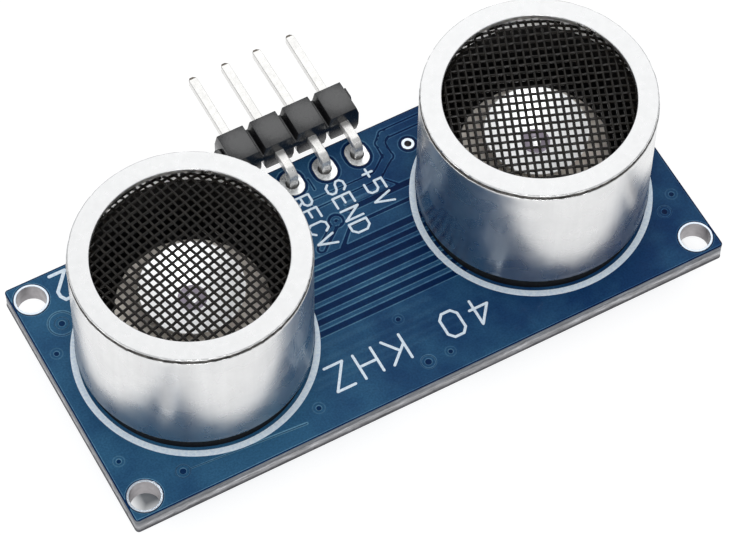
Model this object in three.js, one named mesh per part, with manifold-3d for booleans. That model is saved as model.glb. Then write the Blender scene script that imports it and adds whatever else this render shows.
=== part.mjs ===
// Ultrasonic distance sensor: a small circuit board that carries two open-faced ultrasonic
// transducers, a right-angle pin header and, on its back, the chips that drive them.
//
// Units are millimetres. The origin is the middle of the board's front face, +X runs along
// the board towards the transmitter, +Y runs to the header's edge, and +Z points the way
// the transducers face.

import * as THREE from 'three';
import { mergeVertices } from 'three/addons/utils/BufferGeometryUtils.js';
import Module from 'manifold-3d';

const wasm = await Module();
wasm.setup();

// ---- Driving dimensions ------------------------------------------------------------------

const BOARD = { length: 45, width: 20, thickness: 1.6, cornerRadius: 0.35 };
const BACK = -BOARD.thickness;

const CORNER_HOLE = { x: 21.1, y: 8.5, radius: 1.05, segments: 20 };
const PANEL = { middle: 5, header: 7.2, end: 19.7 };

const PITCH = 2.54;
const HEADER = {
  count: 4,
  centre: 0.1,
  wire: 0.64,
  axisHeight: PITCH / 2,
  holeRow: 8.4,
  holeRadius: 0.5,
  bendRadius: 0.75,
  tipY: 18.7,
  tailLength: 1.55,
  chamfer: 0.16,
  blockStart: 10.3,
  blockDepth: 2.5,
  grooveWidth: 0.34,
  grooveDepth: 0.27,
  grooveFloor: 0.08,
  play: 0.02,
};

const TRANSDUCER = { spacing: 26, terminalPitch: 10 };

const CAN = {
  radius: 8,
  wall: 0.35,
  foot: 1.3,
  top: 11.8,
  lip: 0.4,
  mouth: 6.5,
  segments: 48,
};

const SCREEN = {
  radius: 7.6,
  thickness: 0.3,
  gapBelowLip: 0.02,
  meshRadius: 6.3,
  openingPitch: 1.6,
  bar: 0.44,
};

const BASE = {
  flangeRadius: 7.72,
  flangeTop: 1.27,
  cupRadius: 7.6,
  cupWall: 0.45,
  floorTop: 2.8,
  pedestalRadius: 4.4,
  pedestalTop: 4.2,
};

const DAMPER = { outer: 4.3, inner: 3.2, top: 5.0, notch: 0.8 };
const PLATE = { radius: 5.2, thickness: 0.3 };
const PIEZO = { radius: 3.0, thickness: 0.4 };
const CONE = { hub: 0.7, hubHeight: 0.9, rim: 3.55, rimHeight: 7.7, wall: 0.2 };
const SMALL_ROUND_SEGMENTS = 32;
const TERMINAL = { radius: 0.5, top: 3.6, tail: 1.75, play: 0.04, segments: 12 };
const LEAD = { radius: 0.12, sides: 8, steps: 10 };

const SOLDER = { headerFoot: 0.95, terminalFoot: 1.25, crest: 0.18, play: 0.02 };

const CHIPS = [
  { name: 'amplifier_chip', x: -13, y: 0, length: 8.7, leads: 14, alongY: true },
  { name: 'controller_chip', x: 0, y: -0.6, length: 8.7, leads: 14, alongY: false },
  { name: 'driver_chip', x: 13, y: 0, length: 9.9, leads: 16, alongY: true },
];
const CHIP = {
  bodyWidth: 3.9,
  bodyHeight: 1.4,
  standOff: 0.1,
  overallWidth: 6.0,
  leadPitch: 1.27,
  leadWidth: 0.42,
  leadThickness: 0.2,
  leadExit: 0.75,
  leadFoot: 0.6,
};

const CRYSTAL = { x: 0, y: -7.2, length: 5.0, width: 3.2, height: 1.2 };
const TRANSISTOR = { x: 6.6, y: 5.6, length: 2.9, width: 1.3, height: 1.1, span: 2.4 };

const RESISTOR = { length: 1.6, width: 0.8, height: 0.45, cap: 0.3, capExtra: 0.03 };
const RESISTORS = [
  { x: -18.9, y: 3.6, alongY: true },
  { x: -17.4, y: 6.6, alongY: false },
  { x: -17.4, y: 4.9, alongY: false },
  { x: -17.6, y: -4.6, alongY: false },
  { x: -8.2, y: 5.4, alongY: false },
  { x: -8.2, y: 3.7, alongY: false },
  { x: 4.9, y: -6.4, alongY: true },
  { x: 9.0, y: -6.2, alongY: false },
  { x: 8.6, y: 3.2, alongY: false },
  { x: 17.8, y: 4.6, alongY: false },
];

const CAPACITOR = { length: 1.6, width: 0.8, height: 0.8, cap: 0.35, capExtra: 0.02 };
const CAPACITORS = [
  { x: -17.6, y: -6.4, alongY: false },
  { x: -8.4, y: -4.4, alongY: false },
  { x: -8.4, y: -6.3, alongY: false },
  { x: -4.9, y: -6.4, alongY: true },
  { x: 0.0, y: 4.6, alongY: false },
  { x: 9.0, y: -4.2, alongY: false },
  { x: 17.6, y: -4.6, alongY: false },
  { x: 17.6, y: -6.4, alongY: false },
];

// ---- Materials ---------------------------------------------------------------------------

const finish = (color, roughness, metalness) => ({ color, roughness, metalness });
const BLUE_LAMINATE = finish(0x1c3f68, 0.35, 0.0);
const BARE_ALUMINIUM = finish(0xd2d5d8, 0.32, 1.0);
const CONE_ALUMINIUM = finish(0xe2e4e6, 0.3, 1.0);
const BLACK_WIRE = finish(0x1b1a1c, 0.5, 0.6);
const BLACK_PLASTIC = finish(0x18181a, 0.55, 0.0);
const CHIP_EPOXY = finish(0x232325, 0.6, 0.0);
const TINNED_BRASS = finish(0xc9c6bf, 0.25, 1.0);
const TIN_SOLDER = finish(0xbfc1c3, 0.3, 1.0);
const PIEZO_CERAMIC = finish(0xc8bd9a, 0.6, 0.0);
const WHITE_SILICONE = finish(0xdedede, 0.7, 0.0);
const COPPER_WIRE = finish(0xb06a3a, 0.35, 1.0);
const CHIP_RESISTOR = finish(0x202022, 0.4, 0.0);
const CHIP_CAPACITOR = finish(0x9a7a55, 0.5, 0.0);

// ---- Solids ------------------------------------------------------------------------------

// Turns a three.js geometry into a solid that can be joined and cut.
function solid(geometry) {
  geometry.deleteAttribute('normal');
  geometry.deleteAttribute('uv');
  const merged = mergeVertices(geometry, 1e-4);
  return new wasm.Manifold(new wasm.Mesh({
    numProp: 3,
    vertProperties: new Float32Array(merged.attributes.position.array),
    triVerts: new Uint32Array(merged.index.array),
  }));
}

// Turns a solid back into a three.js geometry.
function geometryOf(body) {
  const mesh = body.getMesh();
  const geometry = new THREE.BufferGeometry();
  geometry.setAttribute('position', new THREE.BufferAttribute(mesh.vertProperties, 3));
  geometry.setIndex(new THREE.BufferAttribute(mesh.triVerts, 1));
  return geometry;
}

function box(low, high) {
  const size = high.map((value, axis) => value - low[axis]);
  const geometry = new THREE.BoxGeometry(...size);
  geometry.translate(...low.map((value, axis) => value + size[axis] / 2));
  return solid(geometry);
}

// A closed profile of [radius, height] pairs turned about the Z axis through (x, y).
function turned(profile, x, y, segments) {
  const points = profile.map(([radius, height]) => new THREE.Vector2(radius, height));
  points.push(points[0].clone());
  const geometry = new THREE.LatheGeometry(points, segments);
  geometry.rotateX(Math.PI / 2);
  geometry.translate(x, y, 0);
  const body = solid(geometry);
  return body.volume() < 0 ? solid(flipped(geometry)) : body;
}

function flipped(geometry) {
  const index = geometry.index.array;
  for (let i = 0; i < index.length; i += 3) {
    [index[i], index[i + 1]] = [index[i + 1], index[i]];
  }
  return geometry;
}

function rod(radius, low, high, x, y, segments) {
  const geometry = new THREE.CylinderGeometry(radius, radius, high - low, segments);
  geometry.rotateX(Math.PI / 2);
  geometry.translate(x, y, (low + high) / 2);
  return solid(geometry);
}

// An outline in X and Y, raised from one height to another.
function slab(shape, low, high, curveSegments = 6) {
  const settings = { depth: high - low, bevelEnabled: false, curveSegments };
  const geometry = new THREE.ExtrudeGeometry(shape, settings);
  geometry.translate(0, 0, low);
  return solid(geometry);
}

function outline(points) {
  return new THREE.Shape(points.map(([x, y]) => new THREE.Vector2(x, y)));
}

function joined(bodies) {
  return bodies.reduce((sum, body) => sum.add(body));
}

function cut(body, tools) {
  return tools.reduce((rest, tool) => rest.subtract(tool), body);
}

// ---- The object --------------------------------------------------------------------------

const sensor = new THREE.Group();

function addPiece(parent, name, body, look) {
  const material = new THREE.MeshStandardMaterial(look);
  const mesh = new THREE.Mesh(geometryOf(body), material);
  mesh.name = name;
  parent.add(mesh);
}

const headerPlaces = Array.from(
  { length: HEADER.count },
  (_, i) => HEADER.centre + (i - (HEADER.count - 1) / 2) * PITCH,
);
const transducerPlaces = { receiver: -TRANSDUCER.spacing / 2, transmitter: TRANSDUCER.spacing / 2 };
const terminalOffsets = { inner: -TRANSDUCER.terminalPitch / 2, outer: TRANSDUCER.terminalPitch / 2 };

// ---- Circuit board -----------------------------------------------------------------------

function boardOutline() {
  const halfLength = BOARD.length / 2;
  const halfWidth = BOARD.width / 2;
  const r = BOARD.cornerRadius;
  const shape = new THREE.Shape();
  shape.moveTo(-halfLength + r, -halfWidth);
  shape.absarc(halfLength - r, -halfWidth + r, r, -Math.PI / 2, 0, false);
  shape.absarc(halfLength - r, halfWidth - r, r, 0, Math.PI / 2, false);
  shape.absarc(-halfLength + r, halfWidth - r, r, Math.PI / 2, Math.PI, false);
  shape.absarc(-halfLength + r, -halfWidth + r, r, Math.PI, Math.PI * 1.5, false);
  return shape;
}

function boardHoles() {
  const low = BACK - 1;
  const high = 1;
  const holes = [];
  for (const x of [-CORNER_HOLE.x, CORNER_HOLE.x]) {
    for (const y of [-CORNER_HOLE.y, CORNER_HOLE.y]) {
      holes.push(rod(CORNER_HOLE.radius, low, high, x, y, CORNER_HOLE.segments));
    }
  }
  for (const x of headerPlaces) {
    holes.push(rod(HEADER.holeRadius, low, high, x, HEADER.holeRow, TERMINAL.segments));
  }
  const terminalHole = TERMINAL.radius + TERMINAL.play;
  for (const centre of Object.values(transducerPlaces)) {
    for (const offset of Object.values(terminalOffsets)) {
      holes.push(rod(terminalHole, low, high, centre + offset, 0, TERMINAL.segments));
    }
  }
  return holes;
}

// The blank is joined from panels, so that the clear middle of the board and the two strips
// by the corner holes are flat faces of their own.
function boardBlank() {
  const endX = BOARD.length / 2 + 1;
  const endY = BOARD.width / 2 + 1;
  const panels = [
    [[-endX, -endY], [-PANEL.end, endY]],
    [[-PANEL.end, -endY], [-PANEL.middle, endY]],
    [[-PANEL.middle, -endY], [PANEL.middle, PANEL.header]],
    [[-PANEL.middle, PANEL.header], [PANEL.middle, endY]],
    [[PANEL.middle, -endY], [PANEL.end, endY]],
    [[PANEL.end, -endY], [endX, endY]],
  ];
  return joined(panels.map(([low, high]) => {
    const frame = box([...low, BACK - 1], [...high, 1]);
    return slab(boardOutline(), BACK, 0).intersect(frame);
  }));
}

function addBoard() {
  addPiece(sensor, 'circuit_board', cut(boardBlank(), boardHoles()), BLUE_LAMINATE);
}

// ---- Transducers -------------------------------------------------------------------------

function canBody() {
  const inner = CAN.radius - CAN.wall;
  const profile = [
    [inner, CAN.foot],
    [CAN.radius, CAN.foot],
    [CAN.radius, CAN.top],
    [CAN.mouth, CAN.top],
    [CAN.mouth, CAN.top - CAN.lip],
    [inner, CAN.top - CAN.lip],
  ];
  return turned(profile, 0, 0, CAN.segments);
}

// The screen's openings are cut in rows and columns that stay inside its clear circle.
function screenBody() {
  const top = CAN.top - CAN.lip - SCREEN.gapBelowLip;
  const bottom = top - SCREEN.thickness;
  const opening = (SCREEN.openingPitch - SCREEN.bar) / 2;
  const reach = Math.floor(SCREEN.meshRadius / SCREEN.openingPitch);
  const openings = [];
  for (let row = -reach; row <= reach; row += 1) {
    for (let column = -reach; column <= reach; column += 1) {
      const x = column * SCREEN.openingPitch;
      const y = row * SCREEN.openingPitch;
      const corner = Math.hypot(Math.abs(x) + opening, Math.abs(y) + opening);
      if (corner < SCREEN.meshRadius) {
        openings.push(box([x - opening, y - opening, bottom - 1], [x + opening, y + opening, top + 1]));
      }
    }
  }
  return cut(rod(SCREEN.radius, bottom, top, 0, 0, CAN.segments), openings);
}

// A cup that stands in the can, holds the screen up against the lip and carries the plate.
function baseBody() {
  const cupTop = CAN.top - CAN.lip - SCREEN.thickness - 2 * SCREEN.gapBelowLip;
  const cupInner = BASE.cupRadius - BASE.cupWall;
  const profile = [
    [0, 0],
    [BASE.flangeRadius, 0],
    [BASE.flangeRadius, BASE.flangeTop],
    [BASE.cupRadius, BASE.flangeTop],
    [BASE.cupRadius, cupTop],
    [cupInner, cupTop],
    [cupInner, BASE.floorTop],
    [BASE.pedestalRadius, BASE.floorTop],
    [BASE.pedestalRadius, BASE.pedestalTop],
    [0, BASE.pedestalTop],
  ];
  const hole = TERMINAL.radius + TERMINAL.play / 2;
  const holes = Object.values(terminalOffsets).map(
    (offset) => rod(hole, -1, BASE.floorTop + 0.5, offset, 0, TERMINAL.segments),
  );
  return cut(turned(profile, 0, 0, CAN.segments), holes);
}

// The silicone ring has a notch on the inner terminal's side for the piezo disc's lead.
function damperBody() {
  const low = BASE.pedestalTop;
  const ring = rod(DAMPER.outer, low, DAMPER.top, 0, 0, SMALL_ROUND_SEGMENTS)
    .subtract(rod(DAMPER.inner, low - 1, DAMPER.top + 1, 0, 0, SMALL_ROUND_SEGMENTS));
  const half = DAMPER.notch / 2;
  return ring.subtract(box([-DAMPER.outer - 1, -half, low - 1], [0, half, DAMPER.top + 1]));
}

function coneBody() {
  const seat = DAMPER.top + PLATE.thickness;
  const bend = seat + CONE.hubHeight;
  const profile = [
    [0, seat],
    [CONE.hub, seat],
    [CONE.hub, bend],
    [CONE.rim, CONE.rimHeight - CONE.wall],
    [CONE.rim, CONE.rimHeight],
    [CONE.rim - CONE.wall, CONE.rimHeight],
    [CONE.hub - CONE.wall, bend + CONE.wall],
    [0, bend + CONE.wall],
  ];
  return turned(profile, 0, 0, SMALL_ROUND_SEGMENTS);
}

function leadWire(points) {
  const path = new THREE.CatmullRomCurve3(points.map(([x, z]) => new THREE.Vector3(x, 0, z)));
  const section = new THREE.Shape();
  section.absarc(0, 0, LEAD.radius, 0, Math.PI * 2, false);
  const settings = {
    extrudePath: path,
    steps: LEAD.steps,
    curveSegments: LEAD.sides / 2,
    bevelEnabled: false,
  };
  return solid(new THREE.ExtrudeGeometry(section, settings));
}

// From the outer terminal's top to the rim of the metal plate.
function plateLead() {
  const start = TERMINAL.top + 0.2;
  const end = DAMPER.top - 0.1;
  const x = TERMINAL.radius + TRANSDUCER.terminalPitch / 2 - 0.5;
  return leadWire([[x, start], [x + 0.3, start + 0.4], [x + 0.25, end - 0.35], [x - 0.05, end]]);
}

// From the inner terminal's top through the damper's notch to the piezo disc.
function piezoLead() {
  const start = TERMINAL.top + 0.2;
  const level = (BASE.pedestalTop + DAMPER.top - PIEZO.thickness) / 2;
  const x = -TRANSDUCER.terminalPitch / 2;
  const rise = [[x, start], [x - 0.1, start + 0.3], [x + 0.5, level + 0.15]];
  return leadWire([...rise, [x + 1.3, level], [x + 2.4, level]]);
}

function addTransducer(side) {
  const place = new THREE.Group();
  place.position.x = transducerPlaces[side];
  sensor.add(place);
  const plateTop = DAMPER.top + PLATE.thickness;
  addPiece(place, `${side}_can`, canBody(), BARE_ALUMINIUM);
  addPiece(place, `${side}_mesh`, screenBody(), BLACK_WIRE);
  addPiece(place, `${side}_cone`, coneBody(), CONE_ALUMINIUM);
  const plate = rod(PLATE.radius, DAMPER.top, plateTop, 0, 0, SMALL_ROUND_SEGMENTS);
  addPiece(place, `${side}_plate`, plate, BARE_ALUMINIUM);
  const piezoLow = DAMPER.top - PIEZO.thickness;
  const piezo = rod(PIEZO.radius, piezoLow, DAMPER.top, 0, 0, SMALL_ROUND_SEGMENTS);
  addPiece(place, `${side}_piezo`, piezo, PIEZO_CERAMIC);
  addPiece(place, `${side}_damper`, damperBody(), WHITE_SILICONE);
  addPiece(place, `${side}_base`, baseBody(), BLACK_PLASTIC);
  for (const [end, offset] of Object.entries(terminalOffsets)) {
    const low = BACK - TERMINAL.tail;
    const pin = rod(TERMINAL.radius, low, TERMINAL.top, offset, 0, TERMINAL.segments);
    addPiece(place, `${side}_terminal_${end}`, pin, TINNED_BRASS);
    const height = TERMINAL.tail - 0.25;
    const fillet = solderBody(offset, 0, TERMINAL.radius, SOLDER.terminalFoot, height);
    addPiece(place, `${side}_solder_${end}`, fillet, TIN_SOLDER);
  }
  addPiece(place, `${side}_lead_outer`, plateLead(), COPPER_WIRE);
  addPiece(place, `${side}_lead_inner`, piezoLead(), COPPER_WIRE);
}

// ---- Solder joints -----------------------------------------------------------------------

// A hollow-sided cone of solder that stands on the board's back round a pin.
function solderBody(x, y, pinRadius, foot, height) {
  const inner = pinRadius + SOLDER.play;
  const crest = inner + SOLDER.crest;
  const waist = (foot - crest) * 0.3 + crest;
  const profile = [
    [inner, BACK],
    [inner, BACK - height],
    [crest, BACK - height],
    [waist, BACK - height * 0.4],
    [foot, BACK],
  ];
  return turned(profile, x, y, TERMINAL.segments);
}

// ---- Header ------------------------------------------------------------------------------

// Stands a shape drawn in Y and Z, and raised along X, in its place.
function standAcross(geometry, x) {
  geometry.applyMatrix4(new THREE.Matrix4().makeBasis(
    new THREE.Vector3(0, 1, 0),
    new THREE.Vector3(0, 0, 1),
    new THREE.Vector3(1, 0, 0),
  ));
  geometry.translate(x, 0, 0);
  return geometry;
}

// One bent pin: its side view, as thick as the wire, narrowed to points at both ends.
function headerPin(x) {
  const half = HEADER.wire / 2;
  const bend = HEADER.bendRadius;
  const level = HEADER.axisHeight;
  const row = HEADER.holeRow;
  const tip = HEADER.tipY;
  const tail = BACK - HEADER.tailLength;
  const point = HEADER.chamfer;
  const side = new THREE.Shape();
  side.moveTo(tip, level + half - point);
  side.lineTo(tip - point * 2, level + half);
  side.lineTo(row - half + bend, level + half);
  side.absarc(row - half + bend, level + half - bend, bend, Math.PI / 2, Math.PI, false);
  side.lineTo(row - half, tail + point * 2);
  side.lineTo(row - half + point, tail);
  side.lineTo(row + half - point, tail);
  side.lineTo(row + half, tail + point * 2);
  side.lineTo(row + half, level + half - bend);
  side.absarc(row - half + bend, level + half - bend, bend - HEADER.wire, Math.PI, Math.PI / 2, true);
  side.lineTo(tip - point * 2, level - half);
  side.lineTo(tip, level - half + point);
  const settings = { depth: HEADER.wire, bevelEnabled: false, curveSegments: 5 };
  const profile = standAcross(new THREE.ExtrudeGeometry(side, settings), x - half);
  const plan = outline([
    [x - half, row - 2],
    [x + half, row - 2],
    [x + half, tip - point * 2],
    [x + half - point, tip + 0.001],
    [x - half + point, tip + 0.001],
    [x - half, tip - point * 2],
  ]);
  return solid(profile).intersect(slab(plan, tail - 1, level + 2));
}

// A strip of blocks with a groove along Y, above and below, between each two.
function headerHousing() {
  const low = HEADER.blockStart;
  const high = low + HEADER.blockDepth;
  const slope = HEADER.grooveWidth;
  const floor = HEADER.grooveFloor;
  const deep = HEADER.grooveDepth;
  const below = [];
  const above = [];
  for (const centre of headerPlaces) {
    const left = centre - PITCH / 2 + floor;
    const right = centre + PITCH / 2 - floor;
    below.push([left, deep], [left + slope, 0], [right - slope, 0], [right, deep]);
    above.push([left, PITCH - deep], [left + slope, PITCH]);
    above.push([right - slope, PITCH], [right, PITCH - deep]);
  }
  const strip = slab(outline([...below, ...above.reverse()]), -high, -low)
    .rotate([90, 0, 0]);
  const half = HEADER.wire / 2 + HEADER.play;
  const level = HEADER.axisHeight;
  const holes = headerPlaces.map(
    (x) => box([x - half, low - 1, level - half], [x + half, high + 1, level + half]),
  );
  return cut(strip, holes);
}

function addHeader() {
  addPiece(sensor, 'header_housing', headerHousing(), BLACK_PLASTIC);
  headerPlaces.forEach((x, i) => {
    addPiece(sensor, `header_pin_${i + 1}`, headerPin(x), TINNED_BRASS);
    const corner = (HEADER.wire / 2) * Math.SQRT2;
    const height = HEADER.tailLength - 0.35;
    const fillet = solderBody(x, HEADER.holeRow, corner, SOLDER.headerFoot, height);
    addPiece(sensor, `header_solder_${i + 1}`, fillet, TIN_SOLDER);
  });
}

// ---- Parts on the back -------------------------------------------------------------------

// Places a body made along X, with its feet on z = 0, at a point on the board's back.
function onBack(body, { x, y, alongY }) {
  return body.rotate([180, 0, alongY ? 90 : 0]).translate([x, y, BACK]);
}

// A gull-wing lead pair that runs right through the body at one place along it.
function leadPair(along) {
  const half = CHIP.leadWidth / 2;
  const reach = CHIP.overallWidth / 2;
  const knee = reach - CHIP.leadFoot;
  const thick = CHIP.leadThickness;
  const exit = CHIP.leadExit;
  const side = outline([
    [reach, 0],
    [reach, thick],
    [knee + thick, thick],
    [knee, exit + thick],
    [-knee, exit + thick],
    [-knee - thick, thick],
    [-reach, thick],
    [-reach, 0],
    [-knee, 0],
    [-knee + thick, exit],
    [knee - thick, exit],
    [knee, 0],
  ]);
  const settings = { depth: CHIP.leadWidth, bevelEnabled: false };
  return solid(standAcross(new THREE.ExtrudeGeometry(side, settings), along - half));
}

function chipBody({ length, leads }) {
  const low = CHIP.standOff;
  const high = low + CHIP.bodyHeight;
  const halfLength = length / 2;
  const halfWidth = CHIP.bodyWidth / 2;
  const block = box([-halfLength, -halfWidth, low], [halfLength, halfWidth, high]);
  const pairs = leads / 2;
  const rows = [];
  for (let i = 0; i < pairs; i += 1) {
    rows.push(leadPair((i - (pairs - 1) / 2) * CHIP.leadPitch));
  }
  return joined([block, ...rows]);
}

function crystalBody() {
  const x = CRYSTAL.length / 2;
  const y = CRYSTAL.width / 2;
  const rim = 0.25;
  const foot = box([-x, -y, 0], [x, y, CRYSTAL.height * 0.45]);
  return foot.add(box([-x + rim, -y + rim, 0], [x - rim, y - rim, CRYSTAL.height]));
}

function transistorBody() {
  const { length, width, height, span } = TRANSISTOR;
  const block = box([-length / 2, -width / 2, 0.1], [length / 2, width / 2, height]);
  const lead = (x, y) => box([x - 0.2, Math.min(y, 0), 0], [x + 0.2, Math.max(y, 0), 0.35]);
  return joined([block, lead(-0.95, -span / 2), lead(0.95, -span / 2), lead(0, span / 2)]);
}

// A ceramic block with a slightly larger metal cap over each end.
function passiveBody({ length, width, height, cap, capExtra }) {
  const x = length / 2;
  const y = width / 2;
  const low = [-x + capExtra, -y + capExtra, capExtra];
  const core = box(low, [x - capExtra, y - capExtra, height - capExtra]);
  const caps = [-1, 1].map((end) => {
    const outer = end * x;
    const inner = end * (x - cap);
    return box([Math.min(outer, inner), -y, 0], [Math.max(outer, inner), y, height]);
  });
  return joined([core, ...caps]);
}

function addBackParts() {
  for (const chip of CHIPS) {
    addPiece(sensor, chip.name, onBack(chipBody(chip), chip), CHIP_EPOXY);
  }
  addPiece(sensor, 'crystal', onBack(crystalBody(), CRYSTAL), BARE_ALUMINIUM);
  addPiece(sensor, 'transistor', onBack(transistorBody(), TRANSISTOR), CHIP_EPOXY);
  RESISTORS.forEach((place, i) => {
    addPiece(sensor, `resistor_${i + 1}`, onBack(passiveBody(RESISTOR), place), CHIP_RESISTOR);
  });
  CAPACITORS.forEach((place, i) => {
    addPiece(sensor, `capacitor_${i + 1}`, onBack(passiveBody(CAPACITOR), place), CHIP_CAPACITOR);
  });
}

addBoard();
addTransducer('receiver');
addTransducer('transmitter');
addHeader();
addBackParts();

export default sensor;
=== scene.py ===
"""Looks of a small ultrasonic distance sensor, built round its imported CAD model.

The frame is the CAD model's: the origin is the middle of the circuit board's front face,
+X runs towards the transmitter, +Y to the header's edge and +Z out of the front.
Sizes in this script are in millimetres and become metres where a mesh is made.
"""

import math
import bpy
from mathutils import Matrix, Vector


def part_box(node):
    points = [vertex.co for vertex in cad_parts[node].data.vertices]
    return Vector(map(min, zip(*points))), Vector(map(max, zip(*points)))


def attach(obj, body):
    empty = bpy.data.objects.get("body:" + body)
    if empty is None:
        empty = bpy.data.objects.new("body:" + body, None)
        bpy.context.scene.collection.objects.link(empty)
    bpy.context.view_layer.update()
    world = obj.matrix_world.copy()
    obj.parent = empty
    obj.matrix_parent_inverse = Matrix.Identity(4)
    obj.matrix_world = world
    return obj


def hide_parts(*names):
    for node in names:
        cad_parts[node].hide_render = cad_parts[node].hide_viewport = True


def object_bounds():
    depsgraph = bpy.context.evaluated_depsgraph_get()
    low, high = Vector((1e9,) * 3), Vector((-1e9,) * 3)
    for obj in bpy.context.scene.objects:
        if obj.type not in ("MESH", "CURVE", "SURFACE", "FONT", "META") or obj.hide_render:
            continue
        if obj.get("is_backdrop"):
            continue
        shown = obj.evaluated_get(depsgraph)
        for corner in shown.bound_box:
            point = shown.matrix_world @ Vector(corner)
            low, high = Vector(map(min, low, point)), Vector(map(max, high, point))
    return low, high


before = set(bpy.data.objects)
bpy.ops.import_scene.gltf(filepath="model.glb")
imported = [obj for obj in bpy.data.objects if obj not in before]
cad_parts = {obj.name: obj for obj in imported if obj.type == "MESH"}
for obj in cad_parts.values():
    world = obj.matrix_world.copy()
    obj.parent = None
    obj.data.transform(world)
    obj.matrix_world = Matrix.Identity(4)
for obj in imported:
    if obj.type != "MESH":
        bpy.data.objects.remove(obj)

from types import SimpleNamespace as Sizes

import bmesh
import bpy
from mathutils import Matrix, Vector, noise
from mathutils.geometry import delaunay_2d_cdt

CAD_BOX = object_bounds()
MM = 0.001
FULL_TURN = 2 * math.pi

# ---- Driving dimensions, in millimetres ----

BOARD = Sizes(half_x=22.5, half_y=10.0, corner=0.35, back=-1.6)
MASK = Sizes(level=0.0, gap_level=-0.04, root=-0.075, slope=0.15, border=0.14)
INK = Sizes(foot=-0.006, top=0.016)
PLATING = Sizes(proud=0.012, wall=0.03)
# What the mask and the laminate stand back from metal that passes through them.
SLACK = 0.03

CORNER_HOLE = Sizes(x=21.1, y=8.5, radius=1.05, rim=1.20)
CORNERS = [(x * CORNER_HOLE.x, y * CORNER_HOLE.y) for x, y in ((-1, -1), (1, -1), (1, 1), (-1, 1))]
HEADER_ROW = 8.4
PITCH = 2.54
HEADER_PLACES = [0.1 + (i - 1.5) * PITCH for i in range(4)]
HEADER_PAD = Sizes(width=1.55, length=1.98, hole=0.5, joint=0.90, joint_height=1.12)

SIDES = {"receiver": -13.0, "transmitter": 13.0}
TERMINAL_OFFSETS = {"inner": -5.0, "outer": 5.0}
TERMINAL = Sizes(pin=0.5, hole=0.53, land=1.29, joint=1.22, joint_height=1.28)
TERMINALS = [(x + dx, 0.0) for x in SIDES.values() for dx in TERMINAL_OFFSETS.values()]
CAN = Sizes(radius=8.0, wall=0.35, foot=1.3, top=11.8, lip=0.4, mouth=6.5)
GUIDE_RING = Sizes(inner=7.95, outer=8.40)
SEAT = Sizes(foot=9.55, top=11.06)
CONE = Sizes(hub=0.72, seat=5.3, hub_top=6.2, rim=3.48, rim_top=7.7)

SCREENS = {
    "receiver": {"tilt": 14.8, "pitch": (0.527, 0.575)},
    "transmitter": {"tilt": -21.8, "pitch": (0.505, 0.600)},
}
WIRE = Sizes(radius=0.106, crimp=0.18, sides=6, steps=4, level=11.14,
             reach=7.05, flat=5.85, bend=1.35)

FLOOR_LEVEL = -3.35

# ---- Mesh building ----


class Build:
    """Vertices and faces of one piece, in millimetres, with a material number per face."""

    def __init__(self):
        self.verts = []
        self.faces = []
        self.marks = []

    def add(self, verts, faces, mark=0):
        start = len(self.verts)
        self.verts.extend(tuple(v) for v in verts)
        self.faces.extend([start + i for i in face] for face in faces)
        self.marks.extend([mark] * len(faces))
        return self

    def moved(self, change):
        self.verts = [change(*v) for v in self.verts]
        return self


def show(name, data):
    made = bpy.data.objects.new(name, data)
    bpy.context.scene.collection.objects.link(made)
    return made


def make_piece(name, build, materials, replaces=(), sharp=38.0, weld=0.0):
    """Makes a Build into a piece of the object that rides on its one body."""
    mesh = bpy.data.meshes.new(name)
    mesh.from_pydata([Vector(v) * MM for v in build.verts], [], build.faces)
    mesh.polygons.foreach_set("material_index", build.marks)
    tidy = bmesh.new()
    tidy.from_mesh(mesh)
    if weld:
        bmesh.ops.remove_doubles(tidy, verts=tidy.verts, dist=weld * MM)
    bmesh.ops.recalc_face_normals(tidy, faces=tidy.faces)
    tidy.to_mesh(mesh)
    tidy.free()
    mesh.polygons.foreach_set("use_smooth", [True] * len(mesh.polygons))
    mesh.set_sharp_from_angle(angle=math.radians(sharp))
    for material in materials if isinstance(materials, list) else [materials]:
        mesh.materials.append(material)
    made = show(name, mesh)
    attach(made, "root")
    if replaces:
        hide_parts(*replaces)


def circle(radius, x=0.0, y=0.0, segments=48):
    steps = [FULL_TURN * i / segments for i in range(segments)]
    return [(x + radius * math.cos(a), y + radius * math.sin(a)) for a in steps]


def rectangle(x0, y0, x1, y1):
    return [(x0, y0), (x1, y0), (x1, y1), (x0, y1)]


def capsule(start, end, half, steps=8):
    """The outline of a straight stroke with round ends."""
    along = math.atan2(end[1] - start[1], end[0] - start[0])
    turns = [i / steps for i in range(steps + 1)]
    angles = [(end, along + math.pi * (t - 0.5)) for t in turns]
    angles += [(start, along + math.pi * (t + 0.5)) for t in turns]
    return [(x + half * math.cos(a), y + half * math.sin(a)) for (x, y), a in angles]


def round_corner(before, here, after, radius, steps):
    """Points of a curve that cuts a corner off."""
    cut = min(radius, 0.45 * (before - here).length, 0.45 * (after - here).length)
    start = here + (before - here).normalized() * cut
    end = here + (after - here).normalized() * cut
    turns = [k / steps for k in range(steps + 1)]
    return [start * (1 - t) ** 2 + here * (2 * t * (1 - t)) + end * t ** 2 for t in turns]


def soften(outline, radius, steps=4):
    """The outline with each corner rounded; a corner may carry its own radius."""
    soft = []
    spots = [Vector(point[:2]) for point in outline]
    for i, point in enumerate(outline):
        wanted = point[2] if len(point) > 2 else radius
        after = spots[(i + 1) % len(spots)]
        corner = round_corner(spots[i - 1], spots[i], after, wanted, steps) if wanted else [spots[i]]
        soft += [tuple(spot) for spot in corner]
    return soft


def round_path(points, radius, steps=4):
    """A path with its inner corners rounded."""
    points = [Vector(point) for point in points]
    soft = points[:1]
    for before, here, after in zip(points, points[1:], points[2:]):
        soft += round_corner(before, here, after, radius, steps)
    return soft + points[-1:]


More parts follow.
